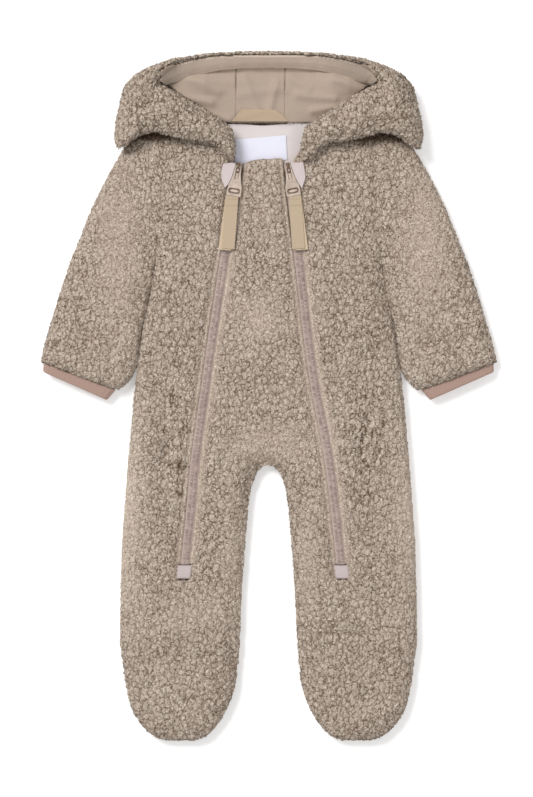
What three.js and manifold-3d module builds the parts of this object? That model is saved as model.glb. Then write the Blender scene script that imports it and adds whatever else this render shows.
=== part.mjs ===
// Hooded, footed baby overall in curly teddy fleece, laid flat on its back with the
// zips up and the hood lying open. Millimetres, +Z up, +Y towards the hood. The origin
// is on the floor, in the middle of the garment. The wearer's right is at -X, which a
// viewer above sees on the left, and the nodes are named left and right as seen.

import * as THREE from 'three';
import { mergeVertices } from 'three/addons/utils/BufferGeometryUtils.js';
import Module from 'manifold-3d';

const wasm = await Module();
wasm.setup();

// Layers, as heights above the floor
const BACK_TOP = 8.5;
const NECK_RECESS_TOP = 6.2;
const FRONT_UNDER = 9;
const FRONT_TOP = 19;
const EDGE_MIDDLE = 9;
const EDGE_LIP = 1.2;

// Cloth and seams
const SEAM = 0.3;
const HALF_SEAM = SEAM / 2;
const VAMP_SEAM = 0.65;
const CROWN_REACH = 24;
const UNDER_REACH = 12;
const SEAM_DIP = 2.4;
const SEAM_DIP_REACH = 7;
const NECK_EDGE_DROP = 4;
const NECK_EDGE_REACH = 8;

// Zips
const ZIP_TOP_Y = 231;
const ZIP_BOTTOM_Y = -171;
const ZIP_TAB_Y = -184;
const ZIP_CLOSED_Y = -187.5;
const ZIP_HALF = 4.4;
const ZIP_EDGE_DROP = 4;
const ZIP_EDGE_REACH = 9;
const TAPE_TOP = 11.4;
const CHAIN_TOP = 14;
const CHAIN_HALF = 2.1;
const CHAIN_START_Y = 212;
const TAB_TOP = 15.6;
const TAB_HALF = 7.1;

// Pulls, in a frame whose origin is the hinge and whose -Y points down the zip
const HINGE_Z = 19.5;
const PULL_Y = 228;
const PULL_LEAN = { left: -9.6, right: 11.4 };
const PULLER = {
  length: 30, top: 2.7, shoulder: 6.7, shoulderY: -19.5, bottom: 7.2, half: 1, bar: 1.1,
  slot: 1.9, slotEnd: 13,
};
const EYE = { y: -24.6, half: 5.8, tall: 5.4, corner: 2.6 };
const STRAP = {
  half: 6.4, under: -0.7, top: 1.1, long: 52.5,
  shift: { left: -1.1, right: 0.8 }, swing: { left: 5.2, right: -7.4 },
};
const TONGUE = { half: 5, deep: 1.3, thick: 0.9, room: 0.3 };
const SLIDER = { half: 3.9, front: 4.6, back: -11, under: -7.4, top: -2 };
const BAIL = { half: 1.2, inTop: 2, outTop: 3.1, inBack: 2.2, inFront: -3.7, band: 1.5 };

// Hood
const HOOD_FLOOR = 8.5;
const LINING = 1.5;
const LINING_CLEAR = 1;
const LINING_FOOT_X = 44.5;
const FACING = 2.4;
const FACING_RIM_Z = 27;
const FACING_HEM_Z = 17;
const HOOD_SEAMS = [-32.5, 16.5];
const SHOULDER_CLEAR_Z = 19.8;
const NECK_SEAM_Y = 273.2;

const COLOUR = {
  fleece: 0xaa9682,
  lining: 0xb29e8c,
  facing: 0xae9a88,
  binding: 0xa5877a,
  tape: 0xa59187,
  pale: 0xd9cac8,
  webbing: 0xc3ac8c,
  puller: 0xc0aa94,
  neck: 0xcfc5c0,
  label: 0xeeeef5,
};

function table(names, rows) {
  const keys = names.split(' ');
  return rows.map((row) => Object.fromEntries(keys.map((key, i) => [key, row[i]])));
}

// Half widths of the body and legs, outside and inside, from the underarm to the toe
const bodySide = table('y x', [
  [137, 113.5], [100, 118.5], [60, 127], [0, 134.3], [-65, 140.5], [-155, 147],
  [-245, 148.5], [-275, 145], [-305, 139.5], [-320, 134.5], [-335, 122.5], [-342, 113],
  [-345, 103],
]);
const insideLeg = table('y x', [
  [-70, 0], [-71.2, 5.4], [-74, 8.6], [-79, 11.8], [-86, 14.9], [-96, 17.9], [-110, 20],
  [-140, 22.5], [-185, 26], [-260, 30], [-290, 33], [-305, 38], [-320, 44.5], [-335, 56],
  [-342, 64], [-345, 73],
]);

// Shoulder, from the neck point out to the sleeve head
const SHOULDER = { neckX: 52, neckY: 272, endX: 104, endY: 266 };
const UNDERARM = { x: 113.5, y: 137 };
const ARMHOLE_BOW = 1.8;
const NECK_EDGE = {
  middleY: 234, slope: 0.18, bow: 2.8, bowX: -13, bowHalf: 16, zipX: 18, openX: 37,
};

// Sleeve sections, each from a point on the outer edge to one on the inner edge
const sleeveSections = table('outX outY inX inY', [
  [104, 266, 113.5, 137], [125, 260, 115.7, 127], [143, 250, 117.3, 115],
  [160.5, 220, 119.2, 101], [175.5, 190, 122.9, 83], [187.5, 160, 127, 64],
  [199.5, 130, 129.6, 45], [209.5, 100, 131.6, 29], [218.5, 70, 137.5, 17],
  [225, 47, 145.5, 9], [227.5, 34, 151, 6],
]);
const SLEEVE_STEPS = [0, 0.05, 0.14, 0.3, 0.5, 0.7, 0.86, 0.95, 1];
const SLEEVE_SLIT = 0.4;
const cuffSections = table('outX outY inX inY tall', [
  [226.6, 33.5, 152.6, 5, 2.8], [225.6, 30, 155.5, 2, 3.4], [226.2, 24.6, 160.6, -4, 3.4],
  [225, 22.6, 162, -5.2, 2.6],
]);

// Zip centre lines
const zipLine = {
  left: table('y x', [
    [236, -29], [227, -30.3], [143, -43], [45, -58], [4, -63.5], [-37, -69.5],
    [-69, -73.8], [-118, -77.9], [-184, -85], [-262, -88.5],
  ]),
  right: table('y x', [
    [236, 18.6], [227, 19.7], [143, 29.5], [45, 41], [4, 47.2], [-37, 55.8], [-69, 61.3],
    [-118, 67.2], [-184, 74], [-262, 88.5],
  ]),
};

// Rows down the body. arch bends a row down towards both sides of each foot.
const bodyRows = table('y arch', [
  [266, 0], [256, 0], [243, 0], [231, 0], [214, 0], [194, 0], [174, 0], [155, 0],
  [137, 0], [118, 0], [98, 0], [78, 0], [58, 0], [38, 0], [18, 0], [-2, 0], [-22, 0],
  [-42, 0], [-58, 0], [-70, 0], [-71.2, 0], [-74, 0], [-79, 0], [-86, 0], [-96, 0],
  [-110, 0], [-130, 0], [-150, 0], [-168, 0], [-170, 0], [-184, 0], [-187.5, 0], [-205, 0],
  [-223, 2], [-242, 7], [-262, 16],
]);
const vampRows = table('y arch', [
  [-262, 16], [-272, 13.5], [-286, 9], [-300, 6], [-314, 3], [-327, 1], [-336, 0],
  [-342, 0], [-345, 0],
]);
const soleRows = table('y arch', [
  [-243, 0], [-262, 0], [-282, 0], [-302, 0], [-320, 0], [-335, 0], [-342, 0], [-345, 0],
]);
const FOOT = { middleX: 88.5, half: 60 };
const HEEL_Y = -243;
const CROTCH_Y = -70;

// Largest folds in the upper layer, as troughs between two points
const creases = table('x0 y0 x1 y1 deep wide', [
  [-193, 70, -153, 45, 2.6, 5], [-205, 96, -170, 78, 1.8, 6], [203, 59, 153, 48, 2.6, 5],
  [208, 90, 172, 80, 1.6, 6], [-116, -5, -101, -55, 2.4, 7], [-101, -55, -103, -105, 2.2, 7],
  [104, -10, 94, -60, 2.2, 7], [94, -60, 95, -108, 2.2, 7], [32, -241, 92, -241, 2.4, 6],
  [-40, -236, -74, -243, 1.6, 6], [-150, 205, -120, 160, 1.8, 9], [150, 205, 122, 165, 1.8, 9],
]);

// Hood ring, from the throat round the lobe and the corner to the middle of the top.
// rim is the edge of the opening, edge is the outer edge, foot leans the inner wall in.
const hoodStations = table('rimX rimY edgeX edgeY crest lip foot', [
  [34, 233.4, 44, 237, 26, 23, 0], [33.4, 250, 50, 246, 30, 25, 0],
  [37, 266, 62, 253, 33, 27, 0], [52, 277, 78, 253.5, 35, 28, 0.5],
  [70, 288, 95, 257, 37, 29, 1], [87, 298, 112, 262, 38, 29, 1],
  [100, 305, 128, 259, 38, 29, 1], [108, 309, 143, 248, 38, 28, 1],
  [110, 311, 151, 244, 37, 25, 1], [110, 312, 154, 256, 36, 14, 1],
  [109, 314, 153, 272, 36, 11, 1], [108, 316, 149, 290, 35, 10, 1],
  [105, 319, 144.5, 308, 34, 10, 2], [100, 324, 134, 320, 33, 10, 5],
  [90, 329, 117, 330, 32, 10, 9], [75, 333, 97, 337.5, 31, 10, 12],
  [50, 337, 60, 342.6, 29.5, 10, 14], [25, 337.6, 30, 344.6, 28.5, 10, 14],
  [0, 337.4, 0, 345, 28, 10, 14],
]);
const RIM_DROP = 5;
const CORNER_STATIONS = [8, 9];

// Facing band, from the corner of the opening to the middle of the top
const facingStations = table('rimX rimY hemX hemY', [
  [107.8, 312.6, 103, 309], [104.2, 318.7, 98, 311.6], [99.4, 323.2, 92, 312.5],
  [89.7, 328.4, 84, 315], [74.8, 332.4, 72, 319.6], [50, 336.4, 48, 324.6],
  [25, 337, 24, 326.6], [0, 336.8, 0, 327],
]);

// Soft mounds under the hood lining, where hidden layers lie folded
const mounds = table('x y high wide', [
  [-70, 303, 6, 24], [70, 303, 6, 24], [-20, 306, 1.6, 22], [24, 303, 2, 18],
]);

// Flat trims
const zipGuard = {
  left: table('x y', [
    [-45.4, 231], [-36, 232], [-33.2, 231.5], [-33, 229.6], [-35.1, 222.7], [-37.1, 217],
    [-38.9, 213.2], [-40.7, 210], [-43.5, 206.8], [-47, 216], [-47, 224],
  ]),
  right: table('x y', [
    [22.6, 231.6], [34.2, 232.2], [35.4, 229], [36.8, 217], [33.4, 206.4], [30.7, 210.3],
    [28.8, 213.5], [26.9, 217.2], [24.7, 222.9], [22.4, 229.7],
  ]),
};
const labelCorners = table('x y', [[-33.5, 256], [17.6, 260.5], [18.6, 236], [-34, 231]]);
const loopCorners = table('x y', [[-37, 274], [-27, 286.4], [7, 285.8], [20.5, 274]]);
const neckFacing = table('x y', [
  [-47, 271.6], [47, 271.6], [42, 240], [30, 224], [12, 216.5], [-12, 216.5], [-30, 224],
  [-42, 240],
]);
const GUARD = { under: 19.3, top: 20.5 };
const NECK_FACING = { under: 6.5, top: 7.7 };
const LABEL = { under: 8, top: 8.6 };
const LOOP = { under: 11.1, top: 12.5 };

const clamp01 = (v) => Math.min(1, Math.max(0, v));
const mix = (a, b, t) => a + (b - a) * t;

// Value of one column where another column, which falls down the table, has a value
function read(rows, y) {
  if (y >= rows[0].y) return rows[0].x;
  for (let i = 1; i < rows.length; i += 1) {
    if (y >= rows[i].y) {
      const t = (rows[i - 1].y - y) / (rows[i - 1].y - rows[i].y);
      return mix(rows[i - 1].x, rows[i].x, t);
    }
  }
  return rows[rows.length - 1].x;
}

function armholeX(y) {
  const t = (SHOULDER.endY - y) / (SHOULDER.endY - UNDERARM.y);
  return mix(SHOULDER.endX, UNDERARM.x, t) - ARMHOLE_BOW * 4 * t * (1 - t);
}

function sideX(y) {
  return y >= UNDERARM.y ? armholeX(y) : read(bodySide, y);
}

function shoulderY(x) {
  const t = clamp01((Math.abs(x) - SHOULDER.neckX) / (SHOULDER.endX - SHOULDER.neckX));
  return mix(SHOULDER.neckY, SHOULDER.endY, t);
}

// Heights
function segmentDistance(x, y, x0, y0, x1, y1) {
  const dx = x1 - x0;
  const dy = y1 - y0;
  const t = clamp01(((x - x0) * dx + (y - y0) * dy) / (dx * dx + dy * dy));
  return Math.hypot(x - x0 - t * dx, y - y0 - t * dy);
}

const freeEdges = [
  [[SHOULDER.neckX, SHOULDER.neckY], ...sleeveSections.map((s) => [s.outX, s.outY])],
  sleeveSections.map((s) => [s.inX, s.inY]),
  [...bodySide, ...[...insideLeg].reverse()].map((p) => [p.x, p.y]),
];

function edgeDistance(x, y) {
  let least = Infinity;
  for (const line of freeEdges) {
    for (let i = 1; i < line.length; i += 1) {
      least = Math.min(least, segmentDistance(Math.abs(x), y, ...line[i - 1], ...line[i]));
    }
  }
  return least;
}

// Quarter ellipse: 0 at the edge, 1 from reach inwards
function roundOver(distance, reach) {
  const t = 1 - clamp01(distance / reach);
  return Math.sqrt(1 - t * t);
}

function creaseDepth(x, y) {
  let depth = 0;
  for (const c of creases) {
    const d = segmentDistance(x, y, c.x0, c.y0, c.x1, c.y1) / c.wide;
    depth += c.deep * Math.exp(-d * d);
  }
  return depth;
}

function seamDip(distance) {
  return SEAM_DIP * (1 - roundOver(distance, SEAM_DIP_REACH));
}

function crownHeight(x, y) {
  const rise = FRONT_TOP - EDGE_MIDDLE - EDGE_LIP;
  const round = roundOver(edgeDistance(x, y), CROWN_REACH);
  return EDGE_MIDDLE + EDGE_LIP + rise * round - creaseDepth(x, y) * round;
}

function zipDrop(x, y) {
  if (y > NECK_EDGE.middleY + NECK_EDGE_REACH) return 0;
  const line = x < 0 ? zipLine.left : zipLine.right;
  const off = Math.abs(x - read(line, y)) - zipHalf(y);
  const deep = y > ZIP_CLOSED_Y ? ZIP_EDGE_DROP : SEAM_DIP;
  return deep * (1 - roundOver(off, ZIP_EDGE_REACH));
}

function frontTop(x, y) {
  const arm = y > UNDERARM.y ? seamDip(armholeX(y) - Math.abs(x)) : 0;
  const toVamp = y < bodyRows.at(-2).y ? seamDip(y - vampSeamY(x)) : 0;
  const neck = NECK_EDGE_DROP * (1 - roundOver(neckEdgeY(x) - y, NECK_EDGE_REACH));
  const inCenter = Math.abs(x) < NECK_EDGE.openX && y < NECK_EDGE.middleY + NECK_EDGE_REACH;
  const height = crownHeight(x, y) - zipDrop(x, y) - arm - toVamp - (inCenter ? neck : 0);
  return Math.max(height, FRONT_UNDER + EDGE_LIP);
}

function underHeight(x, y) {
  return (EDGE_MIDDLE - EDGE_LIP - 0.5) * (1 - roundOver(edgeDistance(x, y), UNDER_REACH));
}

function backTop(x, y) {
  return y > bodyRows[5].y ? NECK_RECESS_TOP : BACK_TOP;
}

function backUnder(x, y) {
  return Math.min(underHeight(x, y), backTop(x, y) - EDGE_LIP);
}

// Closed solids from cells in plan, with a height above and below each point
class Plan {
  constructor() {
    this.points = [];
    this.cells = [];
    this.known = new Map();
  }

  point(x, y) {
    const key = `${x.toFixed(3)},${y.toFixed(3)}`;
    if (!this.known.has(key)) {
      this.known.set(key, this.points.length);
      this.points.push([x, y]);
    }
    return this.known.get(key);
  }

  // rows of plan points, all of one length
  grid(rows) {
    const ids = rows.map((row) => row.map(([x, y]) => this.point(x, y)));
    for (let i = 1; i < ids.length; i += 1) {
      for (let j = 1; j < ids[i].length; j += 1) {
        this.cell(ids[i - 1][j - 1], ids[i][j - 1], ids[i][j], ids[i - 1][j]);
      }
    }
    return this;
  }

  cell(...corners) {
    const ring = corners.filter((id, i) => id !== corners[(i + 1) % corners.length]);
    if (ring.length < 3) return;
    let area = 0;
    ring.forEach((id, i) => {
      const [x0, y0] = this.points[id];
      const [x1, y1] = this.points[ring[(i + 1) % ring.length]];
      area += x0 * y1 - x1 * y0;
    });
    this.cells.push(area > 0 ? ring : ring.reverse());
  }

  solid(top, under) {
    const count = this.points.length;
    const positions = [
      ...this.points.flatMap(([x, y]) => [x, y, top(x, y)]),
      ...this.points.flatMap(([x, y]) => [x, y, under(x, y)]),
    ];
    const sides = new Map();
    const faces = [];
    for (const ring of this.cells) {
      for (let i = 1; i < ring.length - 1; i += 1) {
        faces.push(ring[0], ring[i], ring[i + 1]);
        faces.push(ring[0] + count, ring[i + 1] + count, ring[i] + count);
      }
      ring.forEach((a, i) => sides.set(`${a},${ring[(i + 1) % ring.length]}`, true));
    }
    for (const side of sides.keys()) {
      const [a, b] = side.split(',').map(Number);
      if (sides.has(`${b},${a}`)) continue;
      faces.push(a, a + count, b + count, a, b + count, b);
    }
    return geometryOf(positions, faces);
  }
}

function geometryOf(positions, faces) {
  const geometry = new THREE.BufferGeometry();
  geometry.setAttribute('position', new THREE.Float32BufferAttribute(positions, 3));
  geometry.setIndex(faces);
  return outward(geometry);
}

// Turns every face round if the solid's volume comes out negative
function outward(geometry) {
  const p = geometry.getAttribute('position');
  const index = geometry.getIndex();
  const [a, b, c] = [new THREE.Vector3(), new THREE.Vector3(), new THREE.Vector3()];
  let volume = 0;
  for (let i = 0; i < index.count; i += 3) {
    a.fromBufferAttribute(p, index.getX(i));
    b.fromBufferAttribute(p, index.getX(i + 1));
    c.fromBufferAttribute(p, index.getX(i + 2));
    volume += a.dot(b.cross(c));
  }
  if (volume < 0) {
    for (let i = 0; i < index.count; i += 3) {
      const keep = index.getX(i);
      index.setX(i, index.getX(i + 1));
      index.setX(i + 1, keep);
    }
  }
  geometry.computeVertexNormals();
  return geometry;
}

// Solid through rings of [x, y, z] points, closed at both ends
function loft(rings) {
  const size = rings[0].length;
  const faces = [];
  for (let i = 1; i < rings.length; i += 1) {
    for (let j = 0; j < size; j += 1) {
      const k = (j + 1) % size;
      const [a, b, c, d] = [(i - 1) * size + j, (i - 1) * size + k, i * size + k, i * size + j];
      faces.push(a, b, c, a, c, d);
    }
  }
  const last = (rings.length - 1) * size;
  for (const [a, b, c] of capFaces(rings[0])) faces.push(c, b, a);
  for (const [a, b, c] of capFaces(rings.at(-1))) faces.push(a + last, b + last, c + last);
  return geometryOf(rings.flat(2), faces);
}

// Triangles over a flat ring that stands upright
function capFaces(ring) {
  const [x0, y0] = ring[0];
  const far = ring.reduce((best, p) => {
    const reach = Math.hypot(p[0] - x0, p[1] - y0);
    return reach > best.reach ? { reach, x: p[0] - x0, y: p[1] - y0 } : best;
  }, { reach: 0, x: 1, y: 0 });
  const flat = ring.map(([x, y, z]) => new THREE.Vector2(
    ((x - x0) * far.x + (y - y0) * far.y) / far.reach,
    z,
  ));
  const faces = THREE.ShapeUtils.triangulateShape(flat, []);
  return THREE.ShapeUtils.isClockWise(flat) ? faces.map(([a, b, c]) => [a, c, b]) : faces;
}

// Tube wall through rings of outer and inner points, open at both ends
function tube(outer, inner) {
  const size = outer[0].length;
  const faces = [];
  const wall = (base, flip) => {
    for (let i = 1; i < outer.length; i += 1) {
      for (let j = 0; j < size; j += 1) {
        const k = (j + 1) % size;
        const a = base + (i - 1) * size + j;
        const b = base + (i - 1) * size + k;
        const c = base + i * size + k;
        const d = base + i * size + j;
        if (flip) faces.push(a, c, b, a, d, c);
        else faces.push(a, b, c, a, c, d);
      }
    }
  };
  const offset = outer.length * size;
  wall(0, false);
  wall(offset, true);
  for (const [row, flip] of [[0, true], [outer.length - 1, false]]) {
    for (let j = 0; j < size; j += 1) {
      const k = (j + 1) % size;
      const a = row * size + j;
      const b = row * size + k;
      if (flip) faces.push(a, a + offset, b + offset, a, b + offset, b);
      else faces.push(a, b + offset, a + offset, a, b, b + offset);
    }
  }
  return geometryOf([...outer.flat(2), ...inner.flat(2)], faces);
}

function shapeOf(points) {
  return new THREE.Shape(points.map((p) => new THREE.Vector2(p.x, p.y)));
}

function plate(shape, under, top) {
  const geometry = new THREE.ExtrudeGeometry(shape, {
    depth: top - under, bevelEnabled: false, curveSegments: 4,
  });
  return geometry.translate(0, 0, under);
}

// A side profile in Y and Z, as wide in X as given
const SIDE_ON = new THREE.Matrix4().makeBasis(
  new THREE.Vector3(0, 1, 0),
  new THREE.Vector3(0, 0, 1),
  new THREE.Vector3(1, 0, 0),
);

function sideProfile(shape, half) {
  return plate(shape, -half, half).applyMatrix4(SIDE_ON);
}

// Joining and cutting
function solidOf(geometry) {
  const bare = geometry.clone();
  bare.deleteAttribute('normal');
  bare.deleteAttribute('uv');
  const merged = mergeVertices(bare, 1e-4);
  return new wasm.Manifold(new wasm.Mesh({
    numProp: 3,
    vertProperties: new Float32Array(merged.getAttribute('position').array),
    triVerts: new Uint32Array(merged.getIndex().array),
  }));
}

function geometryFrom(solid) {
  const mesh = solid.getMesh();
  return geometryOf(Array.from(mesh.vertProperties), Array.from(mesh.triVerts));
}

function boxBetween(x0, x1) {
  const wide = x1 - x0;
  return solidOf(new THREE.BoxGeometry(wide, 900, 200).translate((x0 + x1) / 2, 0, 0));
}

// Body panels
function rowPoint(row, x) {
  const s = (Math.abs(x) - FOOT.middleX) / FOOT.half;
  return row.y - row.arch * s * s;
}

function vampSeamY(x) {
  return rowPoint(bodyRows.at(-1), x);
}

function neckEdgeY(x) {
  const off = (x - NECK_EDGE.bowX) / NECK_EDGE.bowHalf;
  const bow = NECK_EDGE.bow * Math.max(0, 1 - off * off);
  return NECK_EDGE.middleY + NECK_EDGE.slope * x + bow;
}

function zipHalf(y) {
  if (y > ZIP_BOTTOM_Y + 1) return ZIP_HALF + SEAM;
  if (y > ZIP_CLOSED_Y + 1) return TAB_HALF + SEAM;
  return HALF_SEAM;
}

function rowSideY(row) {
  return row.y - row.arch;
}

function frontSideX(side, y) {
  if (y <= ZIP_TOP_Y) {
    return side * read(zipLine[side < 0 ? 'left' : 'right'], y) + zipHalf(y);
  }
  const t = (y - ZIP_TOP_Y) / (SHOULDER.neckY - ZIP_TOP_Y);
  return mix(frontSideX(side, ZIP_TOP_Y), SHOULDER.neckX, t);
}

const SIDE_STEPS = [0, 0.05, 0.15, 0.4, 0.65, 0.83, 0.94, 1];

function frontSide(side) {
  const rows = bodyRows.map((row, i) => {
    const outer = sideX(rowSideY(row));
    return SIDE_STEPS.map((t) => {
      const x = mix(frontSideX(side, row.y), outer, t);
      return [side * x, i === 0 ? shoulderY(x) : rowPoint(row, x)];
    });
  });
  return new Plan().grid(rows).solid(frontTop, () => FRONT_UNDER);
}

const CENTER_STEPS = [0, 0.12, 0.4, 0.72, 1];

function frontCenter() {
  const plan = new Plan();
  for (const side of [-1, 1]) {
    const rows = bodyRows.filter((row) => row.y <= ZIP_TOP_Y).map((row, i) => {
      const inner = row.y > CROTCH_Y ? 0 : read(insideLeg, rowSideY(row));
      const level = i === 0 ? neckEdgeY(side * NECK_EDGE.zipX) : row.y;
      const zip = read(zipLine[side < 0 ? 'left' : 'right'], level);
      const outer = side * zip - zipHalf(row.y);
      return CENTER_STEPS.map((t) => {
        const x = side * mix(outer, inner, t);
        return [x, i === 0 ? neckEdgeY(x) : rowPoint(row, x)];
      });
    });
    plan.grid(rows);
  }
  return plan.solid(frontTop, () => FRONT_UNDER);
}

const BACK_STEPS = [0, 0.35, 0.68, 0.88, 0.96, 1];

function back() {
  const plan = new Plan();
  for (const side of [-1, 1]) {
    const rows = bodyRows.filter((row) => row.y > HEEL_Y).map((row, i) => {
      const inner = row.y > CROTCH_Y ? 0 : read(insideLeg, row.y);
      return BACK_STEPS.map((t) => {
        const x = mix(inner, sideX(row.y), t);
        return [side * x, i === 0 ? shoulderY(x) : row.y];
      });
    });
    rows.at(-1).forEach((p) => {
      p[1] = HEEL_Y + HALF_SEAM;
    });
    plan.grid(rows);
  }
  return plan.solid(backTop, backUnder);
}

const FOOT_STEPS = [0, 0.06, 0.2, 0.4, 0.6, 0.8, 0.94, 1];

function footPlan(side, rowTable) {
  const rows = rowTable.map((row, i) => {
    const y = rowSideY(row);
    return FOOT_STEPS.map((t) => {
      const x = mix(read(insideLeg, y), read(bodySide, y), t);
      return [side * x, rowPoint(row, x) - (i === 0 ? VAMP_SEAM : 0)];
    });
  });
  return new Plan().grid(rows);
}

function vampTop(x, y) {
  return Math.max(crownHeight(x, y) - seamDip(vampSeamY(x) - y), FRONT_UNDER + EDGE_LIP);
}

// Sleeves
function sleeveRing(section, first) {
  const spots = SLEEVE_STEPS.map((t) => {
    const y = mix(section.outY, section.inY, t);
    return [first ? armholeX(y) + SEAM : mix(section.outX, section.inX, t), y];
  });
  const dip = first ? SEAM_DIP : 0;
  const upper = spots.map(([x, y]) => [x, y, Math.max(crownHeight(x, y) - dip, EDGE_MIDDLE)]);
  const lower = spots.slice(1, -1).reverse().map(([x, y]) => [x, y, underHeight(x, y)]);
  upper[0][2] = EDGE_MIDDLE;
  upper.at(-1)[2] = EDGE_MIDDLE;
  return [...upper, ...lower];
}

const SLIT_INSET = 0.12;

function slitRing(section, first) {
  const spots = SLEEVE_STEPS.map((t) => {
    const s = mix(SLIT_INSET, 1 - SLIT_INSET, t);
    const y = mix(section.outY, section.inY, s);
    return [first ? armholeX(y) + SEAM : mix(section.outX, section.inX, s), y];
  });
  const upper = spots.map(([x, y]) => [x, y, EDGE_MIDDLE + SLEEVE_SLIT]);
  const lower = spots.slice(1, -1).reverse().map(([x, y]) => [x, y, EDGE_MIDDLE - SLEEVE_SLIT]);
  upper[0][2] = EDGE_MIDDLE;
  upper.at(-1)[2] = EDGE_MIDDLE;
  return [...upper, ...lower];
}

const mirrored = (rings, side) => rings.map((ring) => ring.map(([x, y, z]) => [side * x, y, z]));

function sleeve(side) {
  const withLead = sleeveSections.flatMap((s, i) => (i === 0 ? [s, leadSection()] : [s]));
  const outer = withLead.map((s, i) => sleeveRing(s, i === 0));
  const inner = withLead.map((s, i) => slitRing(s, i === 0));
  return tube(mirrored(outer, side), mirrored(inner, side));
}

// A section close to the armhole, where the cloth has risen again from the seam
function leadSection() {
  const [a, b] = sleeveSections;
  const t = 0.36;
  return {
    outX: mix(a.outX, b.outX, t), outY: mix(a.outY, b.outY, t),
    inX: mix(a.inX, b.inX, t) + 1.5, inY: mix(a.inY, b.inY, t),
  };
}

const CUFF_WALL = 1.6;

function cuffRing(section, inset) {
  const steps = SLEEVE_STEPS.map((t) => mix(inset, 1 - inset, t));
  const spot = (t, sign) => {
    const u = 2 * t - 1;
    const tall = (section.tall - (inset ? CUFF_WALL : 0)) * Math.sqrt(Math.max(0, 1 - u ** 6));
    return [mix(section.outX, section.inX, t), mix(section.outY, section.inY, t),
      EDGE_MIDDLE + sign * tall];
  };
  const upper = steps.map((t) => spot(t, 1));
  const lower = steps.slice(1, -1).reverse().map((t) => spot(t, -1));
  upper[0][2] = EDGE_MIDDLE;
  upper.at(-1)[2] = EDGE_MIDDLE;
  return [...upper, ...lower];
}

function cuffBinding(side) {
  const outer = cuffSections.map((s) => cuffRing(s, 0));
  const inner = cuffSections.map((s) => cuffRing(s, 0.05));
  return tube(mirrored(outer, side), mirrored(inner, side));
}

// Zips
function zip(side) {
  const name = side < 0 ? 'left' : 'right';
  const offsets = [-ZIP_HALF, -CHAIN_HALF - 0.6, -CHAIN_HALF, CHAIN_HALF, CHAIN_HALF + 0.6, ZIP_HALF];
  const levels = bodyRows.map((row) => row.y).filter((y) => y <= ZIP_TOP_Y && y > ZIP_BOTTOM_Y);
  const ys = [...levels, CHAIN_START_Y, ZIP_BOTTOM_Y + 1.2].sort((a, b) => b - a);
  const plan = new Plan().grid(ys.map((y) => offsets.map((o) => [read(zipLine[name], y) + o, y])));
  const top = (x, y) => {
    const chain = y < CHAIN_START_Y && Math.abs(x - read(zipLine[name], y)) < CHAIN_HALF + 0.1;
    return chain ? CHAIN_TOP : TAPE_TOP;
  };
  return plan.solid(top, () => FRONT_UNDER);
}

function zipEnd(side) {
  const line = zipLine[side < 0 ? 'left' : 'right'];
  const offsets = [-TAB_HALF, -TAB_HALF + 1.4, TAB_HALF - 1.4, TAB_HALF];
  const ys = [ZIP_BOTTOM_Y + 0.7, ZIP_BOTTOM_Y - 0.8, ZIP_TAB_Y + 1.4, ZIP_TAB_Y + 0.2];
  const plan = new Plan().grid(ys.map((y) => offsets.map((o) => [read(line, y) + o, y])));
  const isEdge = (x, y) => y === ys[0] || y === ys[3] || Math.abs(x - read(line, y)) > TAB_HALF - 1;
  return plan.solid((x, y) => TAB_TOP - (isEdge(x, y) ? 1 : 0), () => FRONT_UNDER);
}

// Pulls
function slider() {
  const s = SLIDER;
  const outline = [
    [-2.4, s.front], [2.4, s.front], [s.half, 1.5], [s.half, -3], [3, s.back], [-3, s.back],
    [-s.half, -3], [-s.half, 1.5],
  ];
  const body = plate(shapeOf(table('x y', outline)), s.under, s.top);
  const b = BAIL;
  const arch = new THREE.Shape();
  arch.moveTo(b.inFront - b.band, s.top - 1);
  arch.lineTo(b.inFront - b.band, b.outTop - 2.2);
  arch.quadraticCurveTo(b.inFront - b.band, b.outTop, b.inFront + 1, b.outTop);
  arch.lineTo(b.inBack - 0.6, b.outTop);
  arch.quadraticCurveTo(b.inBack + b.band, b.outTop, b.inBack + b.band, b.outTop - 2.2);
  arch.lineTo(b.inBack + b.band, s.top - 1);
  arch.lineTo(b.inBack, s.top - 1);
  arch.lineTo(b.inBack, b.inTop);
  arch.lineTo(b.inFront, b.inTop);
  arch.lineTo(b.inFront, s.top - 1);
  return geometryFrom(solidOf(body).add(solidOf(sideProfile(arch, b.half))));
}

function roundedSlot(x, y0, y1, r) {
  const hole = new THREE.Path();
  hole.moveTo(x - r, y0);
  hole.lineTo(-x + r, y0);
  hole.quadraticCurveTo(-x, y0, -x, y0 - r);
  hole.lineTo(-x, y1 + r);
  hole.quadraticCurveTo(-x, y1, -x + r, y1);
  hole.lineTo(x - r, y1);
  hole.quadraticCurveTo(x, y1, x, y1 + r);
  hole.lineTo(x, y0 - r);
  hole.quadraticCurveTo(x, y0, x - r, y0);
  return hole;
}

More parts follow.
